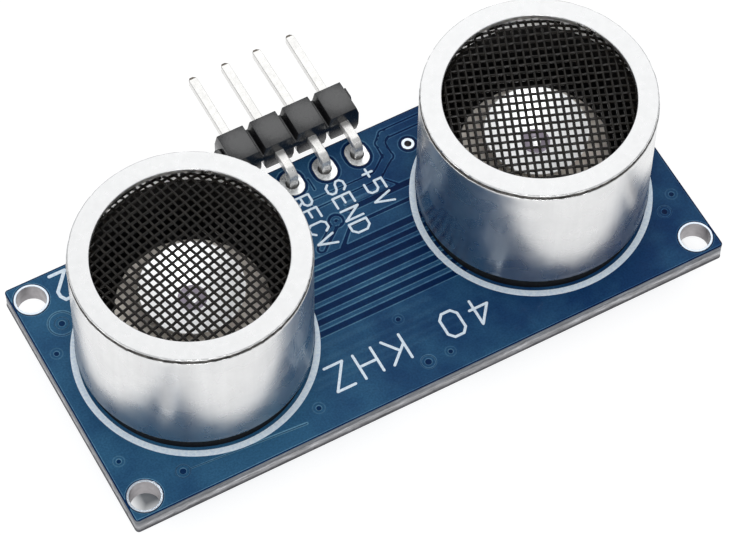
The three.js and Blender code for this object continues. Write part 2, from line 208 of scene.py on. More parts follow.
def counter_clockwise(outline):
    area = 0.0
    for (x0, y0), (x1, y1) in zip(outline, outline[1:] + outline[:1]):
        area += x0 * y1 - x1 * y0
    return outline if area > 0 else outline[::-1]


def triangulate(outlines):
    """Triangles of overlapping outlines, and for each the set of outlines that hold it."""
    points, loops = [], []
    for outline in outlines:
        first = len(points)
        points.extend(Vector(p) for p in counter_clockwise(outline))
        loops.append(list(range(first, len(points))))
    spots, _, triangles, _, _, sources = delaunay_2d_cdt(points, [], loops, 1, 1e-6)
    return spots, triangles, [set(s) for s in sources]


def sheet_solid(spots, triangles, low, height_of):
    """A closed solid over flat triangles: flat at low, and at height_of(vertex) on top."""
    used = sorted({v for t in triangles for v in t})
    place = {v: i for i, v in enumerate(used)}
    count = len(used)
    verts = [(spots[v].x, spots[v].y, height_of(v)) for v in used]
    verts += [(spots[v].x, spots[v].y, low) for v in used]
    edges = {(t[i], t[(i + 1) % 3]) for t in triangles for i in range(3)}
    faces = [[place[v] for v in t] for t in triangles]
    faces += [[place[v] + count for v in reversed(t)] for t in triangles]
    for a, b in edges:
        if (b, a) not in edges:
            faces.append([place[b], place[a], place[a] + count, place[b] + count])
    return verts, faces


def flat_solid(build, outlines, holes, low, high):
    """Adds a flat solid: the outlines joined, less the holes."""
    spots, triangles, sources = triangulate(outlines + holes)
    kept = [t for t, s in zip(triangles, sources) if s and max(s) < len(outlines)]
    return build.add(*sheet_solid(spots, kept, low, lambda vertex: high))


def band(one, two, size):
    """Quads between two closed rings of vertices, which start at one and at two."""
    return [[one + i, one + (i + 1) % size, two + (i + 1) % size, two + i] for i in range(size)]


def loft(rings):
    """A closed solid through like rings of points, with a cap at each end."""
    size = len(rings[0])
    verts = [spot for ring in rings for spot in ring]
    faces = [list(range(size))[::-1], list(range(len(verts) - size, len(verts)))]
    for k in range(len(rings) - 1):
        faces += band(k * size, (k + 1) * size, size)
    return verts, faces


def heading(points, i):
    """The way a path runs at one of its points."""
    return (points[min(i + 1, len(points) - 1)] - points[max(i - 1, 0)]).normalized()


def round_noise(angle, per_radian, level):
    """Smooth noise that closes on itself round a turned shape."""
    place = math.cos(angle) * per_radian, math.sin(angle) * per_radian, level
    return noise.noise(Vector(place))


def lathe(profile, x=0.0, y=0.0, segments=96, change=None):
    """A closed profile of (radius, height) turned about the Z axis through (x, y)."""
    verts, rings = [], []
    for radius, height in profile:
        if radius < 1e-6:
            rings.append([len(verts)])
            verts.append((x, y, height))
            continue
        rings.append(list(range(len(verts), len(verts) + segments)))
        for i in range(segments):
            a = FULL_TURN * i / segments
            r, z = change(radius, height, a) if change else (radius, height)
            verts.append((x + r * math.cos(a), y + r * math.sin(a), z))
    faces = []
    for one, two in zip(rings, rings[1:] + rings[:1]):
        if len(one) == 1 and len(two) == 1:
            continue
        for i in range(segments):
            j = (i + 1) % segments
            corners = [one[i % len(one)], two[i % len(two)], two[j % len(two)], one[j % len(one)]]
            faces.append(list(dict.fromkeys(corners)))
    return verts, faces


def sweep(path, half_width, half_depth, chamfer, scales=None):
    """A bar of chamfered rectangular section along a path that lies square to the X axis."""
    side = Vector((1, 0, 0))
    w, d, c = half_width, half_depth, chamfer
    section = [(w, d - c), (w - c, d), (-w + c, d), (-w, d - c),
               (-w, -d + c), (-w + c, -d), (w - c, -d), (w, -d + c)]
    points = [Vector(p) for p in path]
    rings = []
    for i, (point, scale) in enumerate(zip(points, scales or [1.0] * len(points))):
        across = side.cross(heading(points, i))
        rings.append([point + side * (u * scale) + across * (v * scale) for u, v in section])
    return loft(rings)


# ---- Materials ----


class Nodes:
    """A material's node tree, with short calls for the few kinds of node used here."""

    def __init__(self, name):
        self.material = bpy.data.materials.new(name)
        self.material.use_nodes = True
        self.tree = self.material.node_tree
        self.shader = self.tree.nodes["Principled BSDF"]
        self.place = self.tree.nodes.new("ShaderNodeTexCoord").outputs["Object"]

    def made(self, kind, inputs, output, **settings):
        """One output of a new node, whose inputs are numbers or other nodes' outputs."""
        node = self.tree.nodes.new("ShaderNode" + kind)
        for key, value in settings.items():
            setattr(node, key, value)
        for key, value in inputs.items():
            if hasattr(value, "is_output"):
                self.tree.links.new(value, node.inputs[key])
            else:
                node.inputs[key].default_value = value
        return node.outputs[output]

    def set(self, **values):
        for key, value in values.items():
            self.shader.inputs[key.replace("_", " ")].default_value = value

    def feed(self, socket, output):
        self.tree.links.new(output, self.shader.inputs[socket])

    def stretched(self, x, y, z):
        return self.made("Mapping", {"Scale": (x, y, z), "Vector": self.place}, "Vector")

    def noise(self, per_mm, detail=3.0, rough=0.55, vector=None):
        """Noise with about per_mm features in a millimetre."""
        inputs = {"Scale": per_mm / MM, "Detail": detail, "Roughness": rough,
                  "Vector": vector or self.place}
        return self.made("TexNoise", inputs, "Fac")

    def ramp(self, factor, stops):
        """Colours or greys at places from 0 to 1 along a factor."""
        output = self.made("ValToRGB", {"Fac": factor}, "Color")
        elements = output.node.color_ramp.elements
        while len(elements) < len(stops):
            elements.new(0.5)
        for element, (position, colour) in zip(elements, stops):
            element.position = position
            grey = not hasattr(colour, "__len__")
            element.color = (colour,) * 3 + (1.0,) if grey else tuple(colour) + (1.0,)
        return output

    def mottled(self, per_mm, detail, *stops):
        """Colours or greys spread by noise."""
        return self.ramp(self.noise(per_mm, detail), stops)

    def span(self, value, low, high, to_high=1.0):
        """A value from low to high, spread from 0 to to_high and held there beyond them."""
        inputs = {"Value": value, "From Min": low, "From Max": high, "To Max": to_high}
        return self.made("MapRange", inputs, "Result")

    def mix(self, factor, one, two, blend="MIX"):
        """Two colours mixed; the numbers are the node's sockets for a factor and colours."""
        inputs = {0: factor, 6: one, 7: two}
        return self.made("Mix", inputs, 2, data_type="RGBA", blend_type=blend)

    def maths(self, operation, *values):
        return self.made("Math", dict(enumerate(values)), 0, operation=operation)

    def along(self, axis):
        """One coordinate of the place, in metres."""
        return self.made("SeparateXYZ", {0: self.place}, axis)

    def bump(self, output, depth_mm):
        inputs = {"Distance": depth_mm * MM, "Strength": 1.0, "Height": output}
        self.feed("Normal", self.made("Bump", inputs, "Normal"))


def solder_mask():
    """Blue mask: dark over bare laminate, lighter over copper, and palest where it runs
    thin over a copper edge."""
    n = Nodes("solder_mask_blue")
    n.set(IOR=1.5, Specular_IOR_Level=0.06)
    face = -BOARD.back / 2
    outward = n.maths("ABSOLUTE", n.maths("ADD", n.along("Z"), face * MM))
    low, high = face + MASK.gap_level, face + MASK.level
    level = n.span(outward, low * MM, high * MM)
    by_level = n.ramp(level, [
        (0.0, (0.0008, 0.0130, 0.0600)),
        (0.22, (0.0012, 0.0150, 0.0660)),
        (0.50, (0.0540, 0.1240, 0.2380)),
        (0.90, (0.0480, 0.1130, 0.2160)),
        (1.0, (0.0130, 0.0500, 0.1300)),
    ])
    # Painted reflection: the pour is painted greener and paler towards the receiver's end, as a soft
    # reflection would light it, mixed with random cloudy tone.
    end = n.span(n.along("X"), 9.0 * MM, -9.0 * MM)
    cloud = n.mottled(0.26, 4.0, (0.34, 0.0), (0.66, 1.0))
    # end is the painted reflection gradient along X; place mixes it with the random cloud.
    place = n.mix(0.48, end, cloud)
    cloud_and_reflection_tint = n.ramp(place, [(0.15, (0.55, 0.78, 0.92)), (0.85, (2.20, 2.16, 1.62))])
    tinted = n.mix(1.0, by_level, cloud_and_reflection_tint, "MULTIPLY")
    speck = n.mottled(7.0, 2.0, (0.36, 0.86), (0.62, 1.10))
    n.feed("Base Color", n.mix(1.0, tinted, speck, "MULTIPLY"))
    n.feed("Roughness", n.mottled(1.3, 4.0, (0.3, 0.26), (0.7, 0.46)))
    n.bump(n.noise(3.0, 3.0), 0.004)
    return n.material


def fibreglass():
    """The cut edge of the laminate: blue-grey resin with paler torn fibres."""
    n = Nodes("fibreglass_edge")
    n.set(IOR=1.45)
    layers = n.ramp(n.span(n.along("Z"), BOARD.back * MM, 0.0), [
        (0.0, (0.030, 0.030, 0.036)),
        (0.16, (0.090, 0.090, 0.100)),
        (0.30, (0.35, 0.35, 0.365)),
        (0.50, (0.41, 0.41, 0.425)),
        (0.62, (0.16, 0.165, 0.185)),
        (0.85, (0.20, 0.215, 0.235)),
        (1.0, (0.070, 0.085, 0.115)),
    ])
    strands = n.noise(2.2, 5.0, 0.65, n.stretched(0.35, 0.35, 3.0))
    torn = n.mix(1.0, layers, n.ramp(strands, [(0.32, 0.42), (0.55, 1.0), (0.72, 1.9)]), "MULTIPLY")
    n.feed("Base Color", torn)
    n.feed("Roughness", n.ramp(strands, [(0.3, 0.55), (0.7, 0.85)]))
    n.bump(strands, 0.05)
    return n.material


def surface(name, tone, rough, dent, **shader):
    """A material whose colour, roughness and bump each follow a noise. Tone and rough hold
    its scale, its detail and two stops, and dent its scale, its detail and the depth."""
    n = Nodes(name)
    n.set(**shader)
    n.feed("Base Color", n.mottled(*tone))
    n.feed("Roughness", n.mottled(*rough))
    *grain, depth = dent
    n.bump(n.noise(*grain), depth)
    return n.material


def tinned(name, colour, low, high, dent=0.012, dull_share=0.74, metal=1.0):
    """Tin or solder over copper, with soft runs and a few dull patches."""
    dull = tuple(c * dull_share for c in colour)
    return surface(name, (1.6, 4.0, (0.32, dull), (0.60, colour)),
                   (2.6, 4.0, (0.32, low), (0.68, high)), (1.9, 3.0, dent), Metallic=metal)


def moulded(name, dark, pale, low, high, grain=6.0, dent=0.010, shine=0.5):
    """Moulded black plastic or epoxy, with a fine grain and faint flow marks."""
    return surface(name, (0.9, 4.0, (0.3, dark), (0.7, pale)),
                   (grain, 3.0, (0.3, low), (0.7, high)), (grain, 4.0, 0.65, dent),
                   IOR=1.5, Specular_IOR_Level=shine)


def ceramic(name, one, two, low, high):
    return surface(name, (3.0, 4.0, (0.35, one), (0.65, two)),
                   (5.0, 3.0, (0.3, low), (0.7, high)), (6.0, 3.0, 0.005), IOR=1.55)


def can_aluminium():
    """Drawn aluminium: satin, with upright draw marks, soft mottling and small scuffs."""
    n = Nodes("can_aluminium")
    n.set(Metallic=1.0)
    draw = n.noise(0.9, 4.0, 0.6, n.stretched(1.0, 1.0, 0.07))
    mottle = n.noise(0.55, 5.0, 0.62)
    tone = n.mix(0.5, n.ramp(draw, [(0.28, 0.66), (0.66, 0.78)]),
                 n.ramp(mottle, [(0.30, 0.69), (0.64, 0.785)]))
    scuff = n.ramp(n.noise(3.6, 5.0, 0.7, n.stretched(0.6, 0.6, 1.4)), [(0.62, 1.0), (0.76, 0.94)])
    n.feed("Base Color", n.mix(1.0, tone, scuff, "MULTIPLY"))
    n.feed("Roughness", n.mottled(0.5, 1.0, (0.30, 0.25), (0.70, 0.31)))
    n.bump(n.noise(5.0, 3.0, 0.5, n.stretched(1.0, 1.0, 0.5)), 0.0022)
    return n.material


MASK_BLUE = solder_mask()
LAMINATE = fibreglass()
WHITE_INK = surface("silkscreen_ink", (5.0, 3.0, (0.30, (0.64, 0.77, 0.92)), (0.60, (0.82, 0.92, 1.0))),
                    (9.0, 2.0, (0.3, 0.45), (0.7, 0.65)), (8.0, 2.0, 0.006), IOR=1.45)
TIN = tinned("pin_tin", (0.78, 0.77, 0.75), 0.24, 0.34, 0.001, 0.93, 0.70)
PIN_END = tinned("pin_cut_end", (0.20, 0.17, 0.14), 0.35, 0.55, 0.004)
# A darker copy of the tin for the walls of holes: painted shade for the inside of a hole.
BARREL_TIN_PAINTED_SHADE = tinned("barrel_tin_painted_shade", (0.43, 0.41, 0.42), 0.36, 0.46, 0.002, 0.80)
RIM_TIN = tinned("rim_tin", (0.74, 0.81, 0.89), 0.34, 0.40, 0.0005, 0.96)
PAD_TIN = tinned("pad_tin", (0.86, 0.87, 0.87), 0.20, 0.42, 0.010)
SOLDER = tinned("solder_joint", (0.74, 0.75, 0.76), 0.14, 0.34, 0.020)
COPPER = tinned("lead_copper", (0.80, 0.42, 0.24), 0.25, 0.45, 0.004)
CAN_METAL = can_aluminium()
# A darker, smoother copy of the can's aluminium for the flat lip: painted shade that tones down its
# light from above.
LIP_METAL_SHADED = tinned("lip_aluminium_painted_shade", (0.625, 0.625, 0.625), 0.27, 0.29, 0.0012, 0.965)
CONE_METAL = surface("cone_aluminium", (1.1, 4.0, (0.3, (0.86, 0.86, 0.87)), (0.7, (0.98, 0.98, 0.98))),
                     (2.2, 3.0, (0.3, 0.38), (0.7, 0.52)), (4.0, 3.0, 0.006), Metallic=0.35)
PLATE_METAL = surface("plate_metal", (0.8, 4.0, (0.3, (0.54, 0.50, 0.45)), (0.7, (0.86, 0.81, 0.75))),
                      (2.0, 4.0, (0.3, 0.40), (0.7, 0.60)), (5.0, 3.0, 0.006), Metallic=0.85)
WIRE_BLACK = surface("screen_wire_black",
                     (2.0, 3.0, (0.3, (0.005, 0.0042, 0.0035)), (0.7, (0.015, 0.0125, 0.010))),
                     (3.0, 3.0, (0.3, 0.13), (0.7, 0.20)), (9.0, 2.0, 0.006),
                     Metallic=0.0, Specular_IOR_Level=0.24)
BASE_BLACK = moulded("base_plastic", (0.003, 0.003, 0.004), (0.007, 0.007, 0.008), 0.50, 0.70,
                     shine=0.15)
HEADER_BLACK = moulded("header_plastic", (0.004, 0.004, 0.005), (0.008, 0.008, 0.009), 0.20, 0.28,
                       dent=0.006, shine=1.0)
# Dark material for the fine groove under the lip: partly oxide, partly painted shade for the groove.
SEAM_OXIDE_AND_SHADE = ceramic("seam_oxide_and_painted_shade", (0.010, 0.009, 0.008), (0.150, 0.140, 0.130), 0.5, 0.7)
EPOXY = moulded("chip_epoxy", (0.018, 0.018, 0.019), (0.034, 0.034, 0.036), 0.48, 0.70, 9.0, 0.014)
# A dark bead of glue round each cone's hub, coloured dark also as painted reflection: the dark
# reflection of the steep cone wall there.
GLUE_AND_DARK_REFLECTION = moulded("cone_glue_dark_reflection", (0.110, 0.095, 0.120), (0.220, 0.190, 0.235), 0.35, 0.50, 2.0, 0.020)
CRYSTAL_CASE = tinned("crystal_case", (0.78, 0.78, 0.79), 0.20, 0.34, 0.006)
RESISTOR_GLAZE = ceramic("resistor_glaze", (0.008, 0.008, 0.010), (0.020, 0.020, 0.024), 0.22, 0.40)
CAPACITOR_TAN = ceramic("capacitor_ceramic", (0.32, 0.20, 0.11), (0.50, 0.35, 0.22), 0.40, 0.60)
PIEZO = ceramic("piezo_ceramic", (0.52, 0.46, 0.34), (0.68, 0.62, 0.48), 0.5, 0.7)
SILICONE = ceramic("silicone", (0.66, 0.66, 0.65), (0.80, 0.80, 0.79), 0.6, 0.8)

# ---- Relief in the solder mask ----


class Relief:
    """The mask's top surface, painted in order with shapes at a level from 0, bare
    laminate, to 1, copper. Each shape has an edge slope that straddles its outline."""

    def __init__(self):
        self.shapes = []

    def stroke(self, level, path, width, slope=MASK.slope):
        half, slope = width / 2, slope / 2
        narrow = [capsule(a, b, max(half - slope, 0.02)) for a, b in zip(path, path[1:])]
        wide = [capsule(a, b, half + slope) for a, b in zip(path, path[1:])]
        self.shapes.append((level, narrow, wide))

    def track(self, path, width, gap):
        """A copper track with a gap on each side of it."""
        self.stroke(0.0, path, width + 2 * gap)
        self.stroke(1.0, path, width)

    def disc(self, level, x, y, radius, slope=MASK.slope):
        narrow = circle(max(radius - slope / 2, 0.03), x, y, 28)
        self.shapes.append((level, [narrow], [circle(radius + slope / 2, x, y, 28)]))

    def covered_via(self, x, y, radius):
        """A via under the mask: a dimple in a ring of copper, inside a faint groove."""
        if radius > 0.4:
            self.disc(0.30, x, y, radius + 0.10, 0.05)
            self.disc(1.0, x, y, radius, 0.06)
        else:
            self.disc(0.95, x, y, radius + 0.10, 0.05)
            self.disc(1.0, x, y, radius + 0.03, 0.05)
        self.disc(0.0, x, y, radius * 0.50 + 0.01, 0.09)

    def solid(self, outline, openings):
        outlines, level_of = [outline] + openings, {}
        for order, (level, narrow, wide) in enumerate(self.shapes):
            for shape in narrow:
                level_of[len(outlines)] = (order, level)
                outlines.append(shape)
            outlines.extend(wide)
        spots, triangles, sources = triangulate(outlines)
        kept, over = [], {}
        for triangle, source in zip(triangles, sources):
            if 0 in source and not any(1 <= s <= len(openings) for s in source):
                kept.append(triangle)
                for vertex in triangle:
                    over.setdefault(vertex, set()).update(s for s in source if s in level_of)

        def height_of(vertex):
            covers = [level_of[s] for s in over[vertex]]
            level = max(covers)[1] if covers else 1.0
            return MASK.gap_level + (MASK.level - MASK.gap_level) * level

        return sheet_solid(spots, kept, MASK.root, height_of)


def to_back(build):
    """Turns something made on the front's levels over to the board's back."""
    return build.moved(lambda x, y, z: (x, y, BOARD.back - z))


# ---- Circuit board ----


def board_outline(inset):
    x, y = BOARD.half_x - inset, BOARD.half_y - inset
    return soften(rectangle(-x, -y, x, y), BOARD.corner, 5)


def spaced(outline, step):
    """The outline with extra points, so that no side is longer than about a step."""
    dense = []
    for one, two in zip(outline, outline[1:] + outline[:1]):
        one, two = Vector(one), Vector(two)
        count = max(1, round((two - one).length / step))
        dense.extend(tuple(one.lerp(two, i / count)) for i in range(count))
    return dense


def outward_at(x, y):
    """The way out of the board at a point of its rim."""
    if abs(abs(x) - BOARD.half_x) < 1e-3:
        return Vector((math.copysign(1.0, x), 0.0))
    if abs(abs(y) - BOARD.half_y) < 1e-3:
        return Vector((0.0, math.copysign(1.0, y)))
    return Vector((x, y)).normalized()


def add_laminate():
    """The fibreglass core. Its sawn edge is torn a little, more between the faces."""
    top, bottom = -0.055, BOARD.back + 0.055
    levels = [0.0, 0.05, 0.14, 0.25, 0.36, 0.48, 0.60, 0.72, 0.84, 0.94, 1.0]
    rim = spaced(counter_clockwise(board_outline(0.0)), 0.13)
    rings = []
    for share in levels:
        z = bottom + (top - bottom) * share
        ring = []
        for x, y in rim:
            along = x + y
            torn = 0.5 + 0.5 * noise.noise(Vector((along * 1.1, z * 5.0, 3.0)))
            fibre = max(0.0, noise.noise(Vector((along * 3.4, z * 9.0, 7.0))))
            depth = 0.018 + (0.055 * torn + 0.09 * fibre) * math.sin(math.pi * share) ** 0.5
            outward = outward_at(x, y)
            ring.append((x - outward.x * depth, y - outward.y * depth, z))
        rings.append(ring)
    build = Build()
    count = len(rim)
    walls = []
    for k in range(len(rings) - 1):
        walls += band(k * count, (k + 1) * count, count)
    build.add([v for ring in rings for v in ring], walls)
    holes = [circle(CORNER_HOLE.radius + 0.05, x, y, 64) for x, y in CORNERS]
    holes += [circle(HEADER_PAD.hole + SLACK, x, HEADER_ROW, 32) for x in HEADER_PLACES]
    holes += [circle(TERMINAL.hole + SLACK, x, y, 32) for x, y in TERMINALS]
    holes += [circle(OPEN_VIA.hole + SLACK, OPEN_VIA.x, OPEN_VIA.y, 24)]
    for ring in (rings[0], rings[-1]):
        z = ring[0][2]
        spots, triangles, sources = triangulate([[(x, y) for x, y, _ in ring]] + holes)
        kept = [t for t, s in zip(triangles, sources) if s == {0}]
        build.add([(p.x, p.y, z) for p in spots], kept)
    for hole in holes:
        verts = [(x, y, bottom) for x, y in hole] + [(x, y, top) for x, y in hole]
        build.add(verts, band(0, len(hole), len(hole)))
    make_piece("board_laminate_core", build, LAMINATE,
               ["circuit_board"], sharp=30.0, weld=0.002)


# Parallel tracks cross the middle of the front: the middle and width of each gap between.
TRACK_GAPS = [(2.00, 0.55), (1.17, 0.42), (0.345, 0.58), (-0.60, 0.59), (-1.505, 0.50),
              (-2.35, 0.49), (-3.20, 0.48)]
TRACK_ENDS = (-7.5, 6.5)
# Faint shallow bands below them, where tracks on the other face show through.
FAINT_BANDS = [(-4.10, 0.42, 2.6), (-5.05, 0.36, 3.4), (-5.62, 0.24, 4.9), (-6.25, 0.24, 4.4),
               (-6.80, 0.20, 3.9)]
OPEN_VIA = Sizes(x=7.45, y=7.5, hole=0.25, rim=0.46)
COVERED_VIAS = [(0.0, -4.6, 0.34), (0.2, -8.45, 0.46), (1.9, -8.45, 0.32), (-7.95, -8.1, 0.36),
                (-20.1, 5.85, 0.42), (-21.45, 3.9, 0.36), (-21.45, -5.4, 0.33),
                (-18.05, -8.05, 0.42), (20.3, -5.75, 0.42), (21.45, -4.75, 0.36)]


def border(relief):
    half = (BOARD.half_x, BOARD.half_y)
    corners = [(-half[0], -half[1]), (half[0], -half[1]), half, (-half[0], half[1])]
    relief.stroke(0.0, corners + corners[:1], 2 * MASK.border, 0.06)


def front_tracks(relief):
    left, right = TRACK_ENDS
    for y, width in TRACK_GAPS:
        relief.stroke(0.0, [(left, y), (right, y)], width)
    for y, width, end in FAINT_BANDS:
        relief.stroke(0.985, [(left, y), (end, y)], width)
    # The island of copper over the tracks, cut off by one slanting gap.
    relief.stroke(0.0, [(5.9, 3.5), (0.75, 3.5), (-0.6, 2.15)], 0.34)
    relief.stroke(0.0, [(6.4, 4.72), (1.3, 4.72)], 0.50)
    relief.stroke(0.4, [(1.3, 5.15), (4.5, 5.15)], 0.30)
    # A via with a slanting track, to the left of the island.
    relief.track([(0.05, 4.25), (-1.9, 2.75)], 0.34, 0.22)
    relief.disc(0.0, 0.05, 4.30, 0.62)
    relief.disc(1.0, 0.05, 4.30, 0.42)
    relief.disc(0.0, 0.05, 4.30, 0.17)
    relief.stroke(1.0, [(-0.2, 4.1), (-1.9, 2.75)], 0.34)
    # The supply track steps round the open via to the driver side.
    supply = [(-0.5, 6.20), (4.30, 6.20), (5.74, 7.25), (5.78, 8.45), (6.32, 9.0), (11.0, 9.0)]
    relief.track(supply, 0.58, 0.17)
    relief.stroke(0.0, [(4.65, 5.65), (5.45, 4.72)], 0.16)
    relief.stroke(0.0, [(-0.05, 8.2), (-0.05, 7.25)], 0.16)
    relief.track([(7.45, 7.5), (9.4, 6.6)], 0.30, 0.16)


def header_rings(relief):
    """The bare ring round each header pad."""
    reach = (HEADER_PAD.length - HEADER_PAD.width) / 2
    for x in HEADER_PLACES:
        path = [(x, HEADER_ROW - reach), (x, HEADER_ROW + reach)]
        relief.stroke(0.0, path, HEADER_PAD.width + 0.52)


def front_rings(relief):
    header_rings(relief)
    relief.disc(0.0, OPEN_VIA.x, OPEN_VIA.y, OPEN_VIA.rim + 0.24)
    for x, y in CORNERS:
        relief.disc(0.0, x, y, CORNER_HOLE.rim + 0.10, 0.08)
    for x, y, radius in COVERED_VIAS:
        relief.covered_via(x, y, radius)
    relief.disc(0.30, -20.1, 5.85, 1.00, 0.07)
    relief.disc(1.0, -20.1, 5.85, 0.86, 0.07)
    relief.covered_via(-20.1, 5.85, 0.46)
    relief.stroke(0.25, [(-18.05, -8.05), (-9.2, -8.75)], 0.10)
    relief.covered_via(-18.05, -8.05, 0.46)


def mask_openings():
    openings = [circle(CORNER_HOLE.rim + SLACK, x, y, 64) for x, y in CORNERS]
    openings += [header_pad_outline(x, SLACK) for x in HEADER_PLACES]
    openings += [circle(OPEN_VIA.rim + SLACK, OPEN_VIA.x, OPEN_VIA.y, 32)]
    return openings


def header_pad_outline(x, grow):
    half = HEADER_PAD.width / 2
    reach = HEADER_PAD.length / 2 - half
    return capsule((x, HEADER_ROW - reach), (x, HEADER_ROW + reach), half + grow, 20)


def make_mask(name, relief, openings, change=lambda build: build):
    build = Build().add(*relief.solid(board_outline(SLACK), mask_openings() + openings))
    make_piece(name, change(build), MASK_BLUE, sharp=9.0)


def add_front_mask():
    relief = Relief()
    border(relief)
    front_tracks(relief)
    front_rings(relief)
    openings = [circle(TERMINAL.hole + 0.07, x, y, 32) for x, y in TERMINALS]
    make_mask("solder_mask_front", relief, openings)


def plated_hole(name, x, y, hole, rim, segments):
    """A plated hole: a barrel with a flat rim on each face. The barrel wall takes a darker copy of the
    tin: painted shade for the inside of the hole.
    """
    low, high, edge = BOARD.back - PLATING.proud, PLATING.proud, 0.012
    wall = hole + PLATING.wall
    profile = [(hole, low + edge), (hole + edge, low), (rim - edge, low), (rim, low + edge),
               (rim, low + 0.05), (wall, low + 0.05), (wall, high - 0.05), (rim, high - 0.05),
               (rim, high - edge), (rim - edge, high), (hole + edge, high), (hole, high - edge)]
    build = Build().add(*lathe(profile, x, y, segments))
    # The last band of faces is the barrel wall, which takes the painted-shade tin.
    build.marks[-segments:] = [1] * segments
    make_piece(name, build, [RIM_TIN, BARREL_TIN_PAINTED_SHADE], sharp=30.0)


def add_plating():
    for i, (x, y) in enumerate(CORNERS):
        plated_hole(f"corner_hole_plating_{i + 1}", x, y, CORNER_HOLE.radius, CORNER_HOLE.rim, 96)
    plated_hole("open_via_plating", OPEN_VIA.x, OPEN_VIA.y, OPEN_VIA.hole, OPEN_VIA.rim, 40)
    for i, x in enumerate(HEADER_PLACES):
        hole = circle(HEADER_PAD.hole - 0.01, x, HEADER_ROW, 40)
        pad = flat_solid(Build(), [header_pad_outline(x, 0.0)], [hole], -0.05, PLATING.proud)
        build = Build().add(pad.verts, pad.faces)
        to_back(pad)
        build.add(pad.verts, pad.faces)
        radius, wall = HEADER_PAD.hole, PLATING.wall
        tube = [(radius - 0.01, BOARD.back + 0.03), (radius + wall, BOARD.back + 0.03),
                (radius + wall, -0.03), (radius - 0.01, -0.03)]
        build.add(*lathe(tube, x, HEADER_ROW, 40))
        make_piece(f"header_pad_{i + 1}", build, PAD_TIN)


# ---- Printing on the board ----

# Plain stroke letters on a field 4 wide and 6 high.
GLYPHS = {
    "0": [[(1, 0), (3, 0), (4, 1.2), (4, 4.8), (3, 6), (1, 6), (0, 4.8), (0, 1.2), (1, 0)]],
    "1": [[(0.8, 4.8), (2, 6), (2, 0)], [(0.8, 0), (3.2, 0)]],
    "2": [[(0, 4.8), (0.8, 6), (3.2, 6), (4, 4.9), (4, 3.8), (0, 0), (4, 0)]],
    "4": [[(3, 0), (3, 6), (0, 2), (4, 2)]],
    "5": [[(4, 6), (0, 6), (0, 3.5), (3, 3.5), (4, 2.6), (4, 0.9), (3, 0), (0, 0)]],
    "C": [[(4, 4.8), (3, 6), (1, 6), (0, 4.8), (0, 1.2), (1, 0), (3, 0), (4, 1.2)]],
    "D": [[(0, 0), (0, 6), (2.6, 6), (4, 4.6), (4, 1.4), (2.6, 0), (0, 0)]],
    "E": [[(4, 6), (0, 6), (0, 0), (4, 0)], [(0, 3.1), (3, 3.1)]],
    "H": [[(0, 0), (0, 6)], [(4, 0), (4, 6)], [(0, 3), (4, 3)]],
    "K": [[(0, 0), (0, 6)], [(4, 6), (0, 2.2)], [(1.4, 3.5), (4, 0)]],
    "N": [[(0, 0), (0, 6), (4, 0), (4, 6)]],
    "R": [[(0, 0), (0, 6), (3, 6), (4, 5.2), (4, 3.9), (3, 3.1), (0, 3.1)], [(2, 3.1), (4, 0)]],
    "S": [[(4, 5), (3, 6), (1, 6), (0, 5.1), (0, 4), (1, 3.2), (3, 2.9), (4, 2.1), (4, 0.9),
           (3, 0), (1, 0), (0, 1)]],
    "V": [[(0, 6), (2, 0), (4, 6)]],
    "Z": [[(0, 6), (4, 6), (0, 0), (4, 0)]],
    "+": [[(0.4, 3), (3.6, 3)], [(2, 1.4), (2, 4.6)]],
    " ": [],
}


def lettering(text, start, reading, up, height, width, pitch, stroke):
    """Outlines of the strokes of a line of text; start is its first lower corner."""
    reading, up = Vector(reading), Vector(up)
    outlines = []
    for i, letter in enumerate(text):
        corner = Vector(start) + reading * (pitch * i)
        for line in GLYPHS[letter]:
            points = [corner + reading * (u * width / 4) + up * (v * height / 6) for u, v in line]
            outlines += [capsule(a, b, stroke / 2) for a, b in zip(points, points[1:])]
    return outlines


def add_front_printing():
    build = Build()
    strokes = lettering("40 KHZ", (5.9, -5.65), (-1, 0), (0, -1), 1.98, 1.35, 2.16, 0.19)
    for text, x in (("+5V", 3.12), ("SEND", 0.64), ("RECV", -1.96), ("0V", -4.46)):
        strokes += lettering(text, (x, 7.12), (0, -1), (1, 0), 1.32, 0.84, 1.19, 0.165)
    strokes += lettering("2", (-18.1, 9.55), (-1, 0), (0, -1), 2.15, 1.15, 1.0, 0.24)
    strokes += lettering("1", (19.4, 9.55), (-1, 0), (0, -1), 2.15, 1.15, 1.0, 0.24)
    flat_solid(build, strokes, [], INK.foot - 0.06, INK.top)
    for x in SIDES.values():
        outer = circle(GUIDE_RING.outer, x, 0.0, 160)
        inner = circle(GUIDE_RING.inner, x, 0.0, 160)
        flat_solid(build, [outer], [inner], INK.foot - 0.06, INK.top)
    make_piece("printing_front", build, WHITE_INK, sharp=30.0)


# ---- Transducers ----


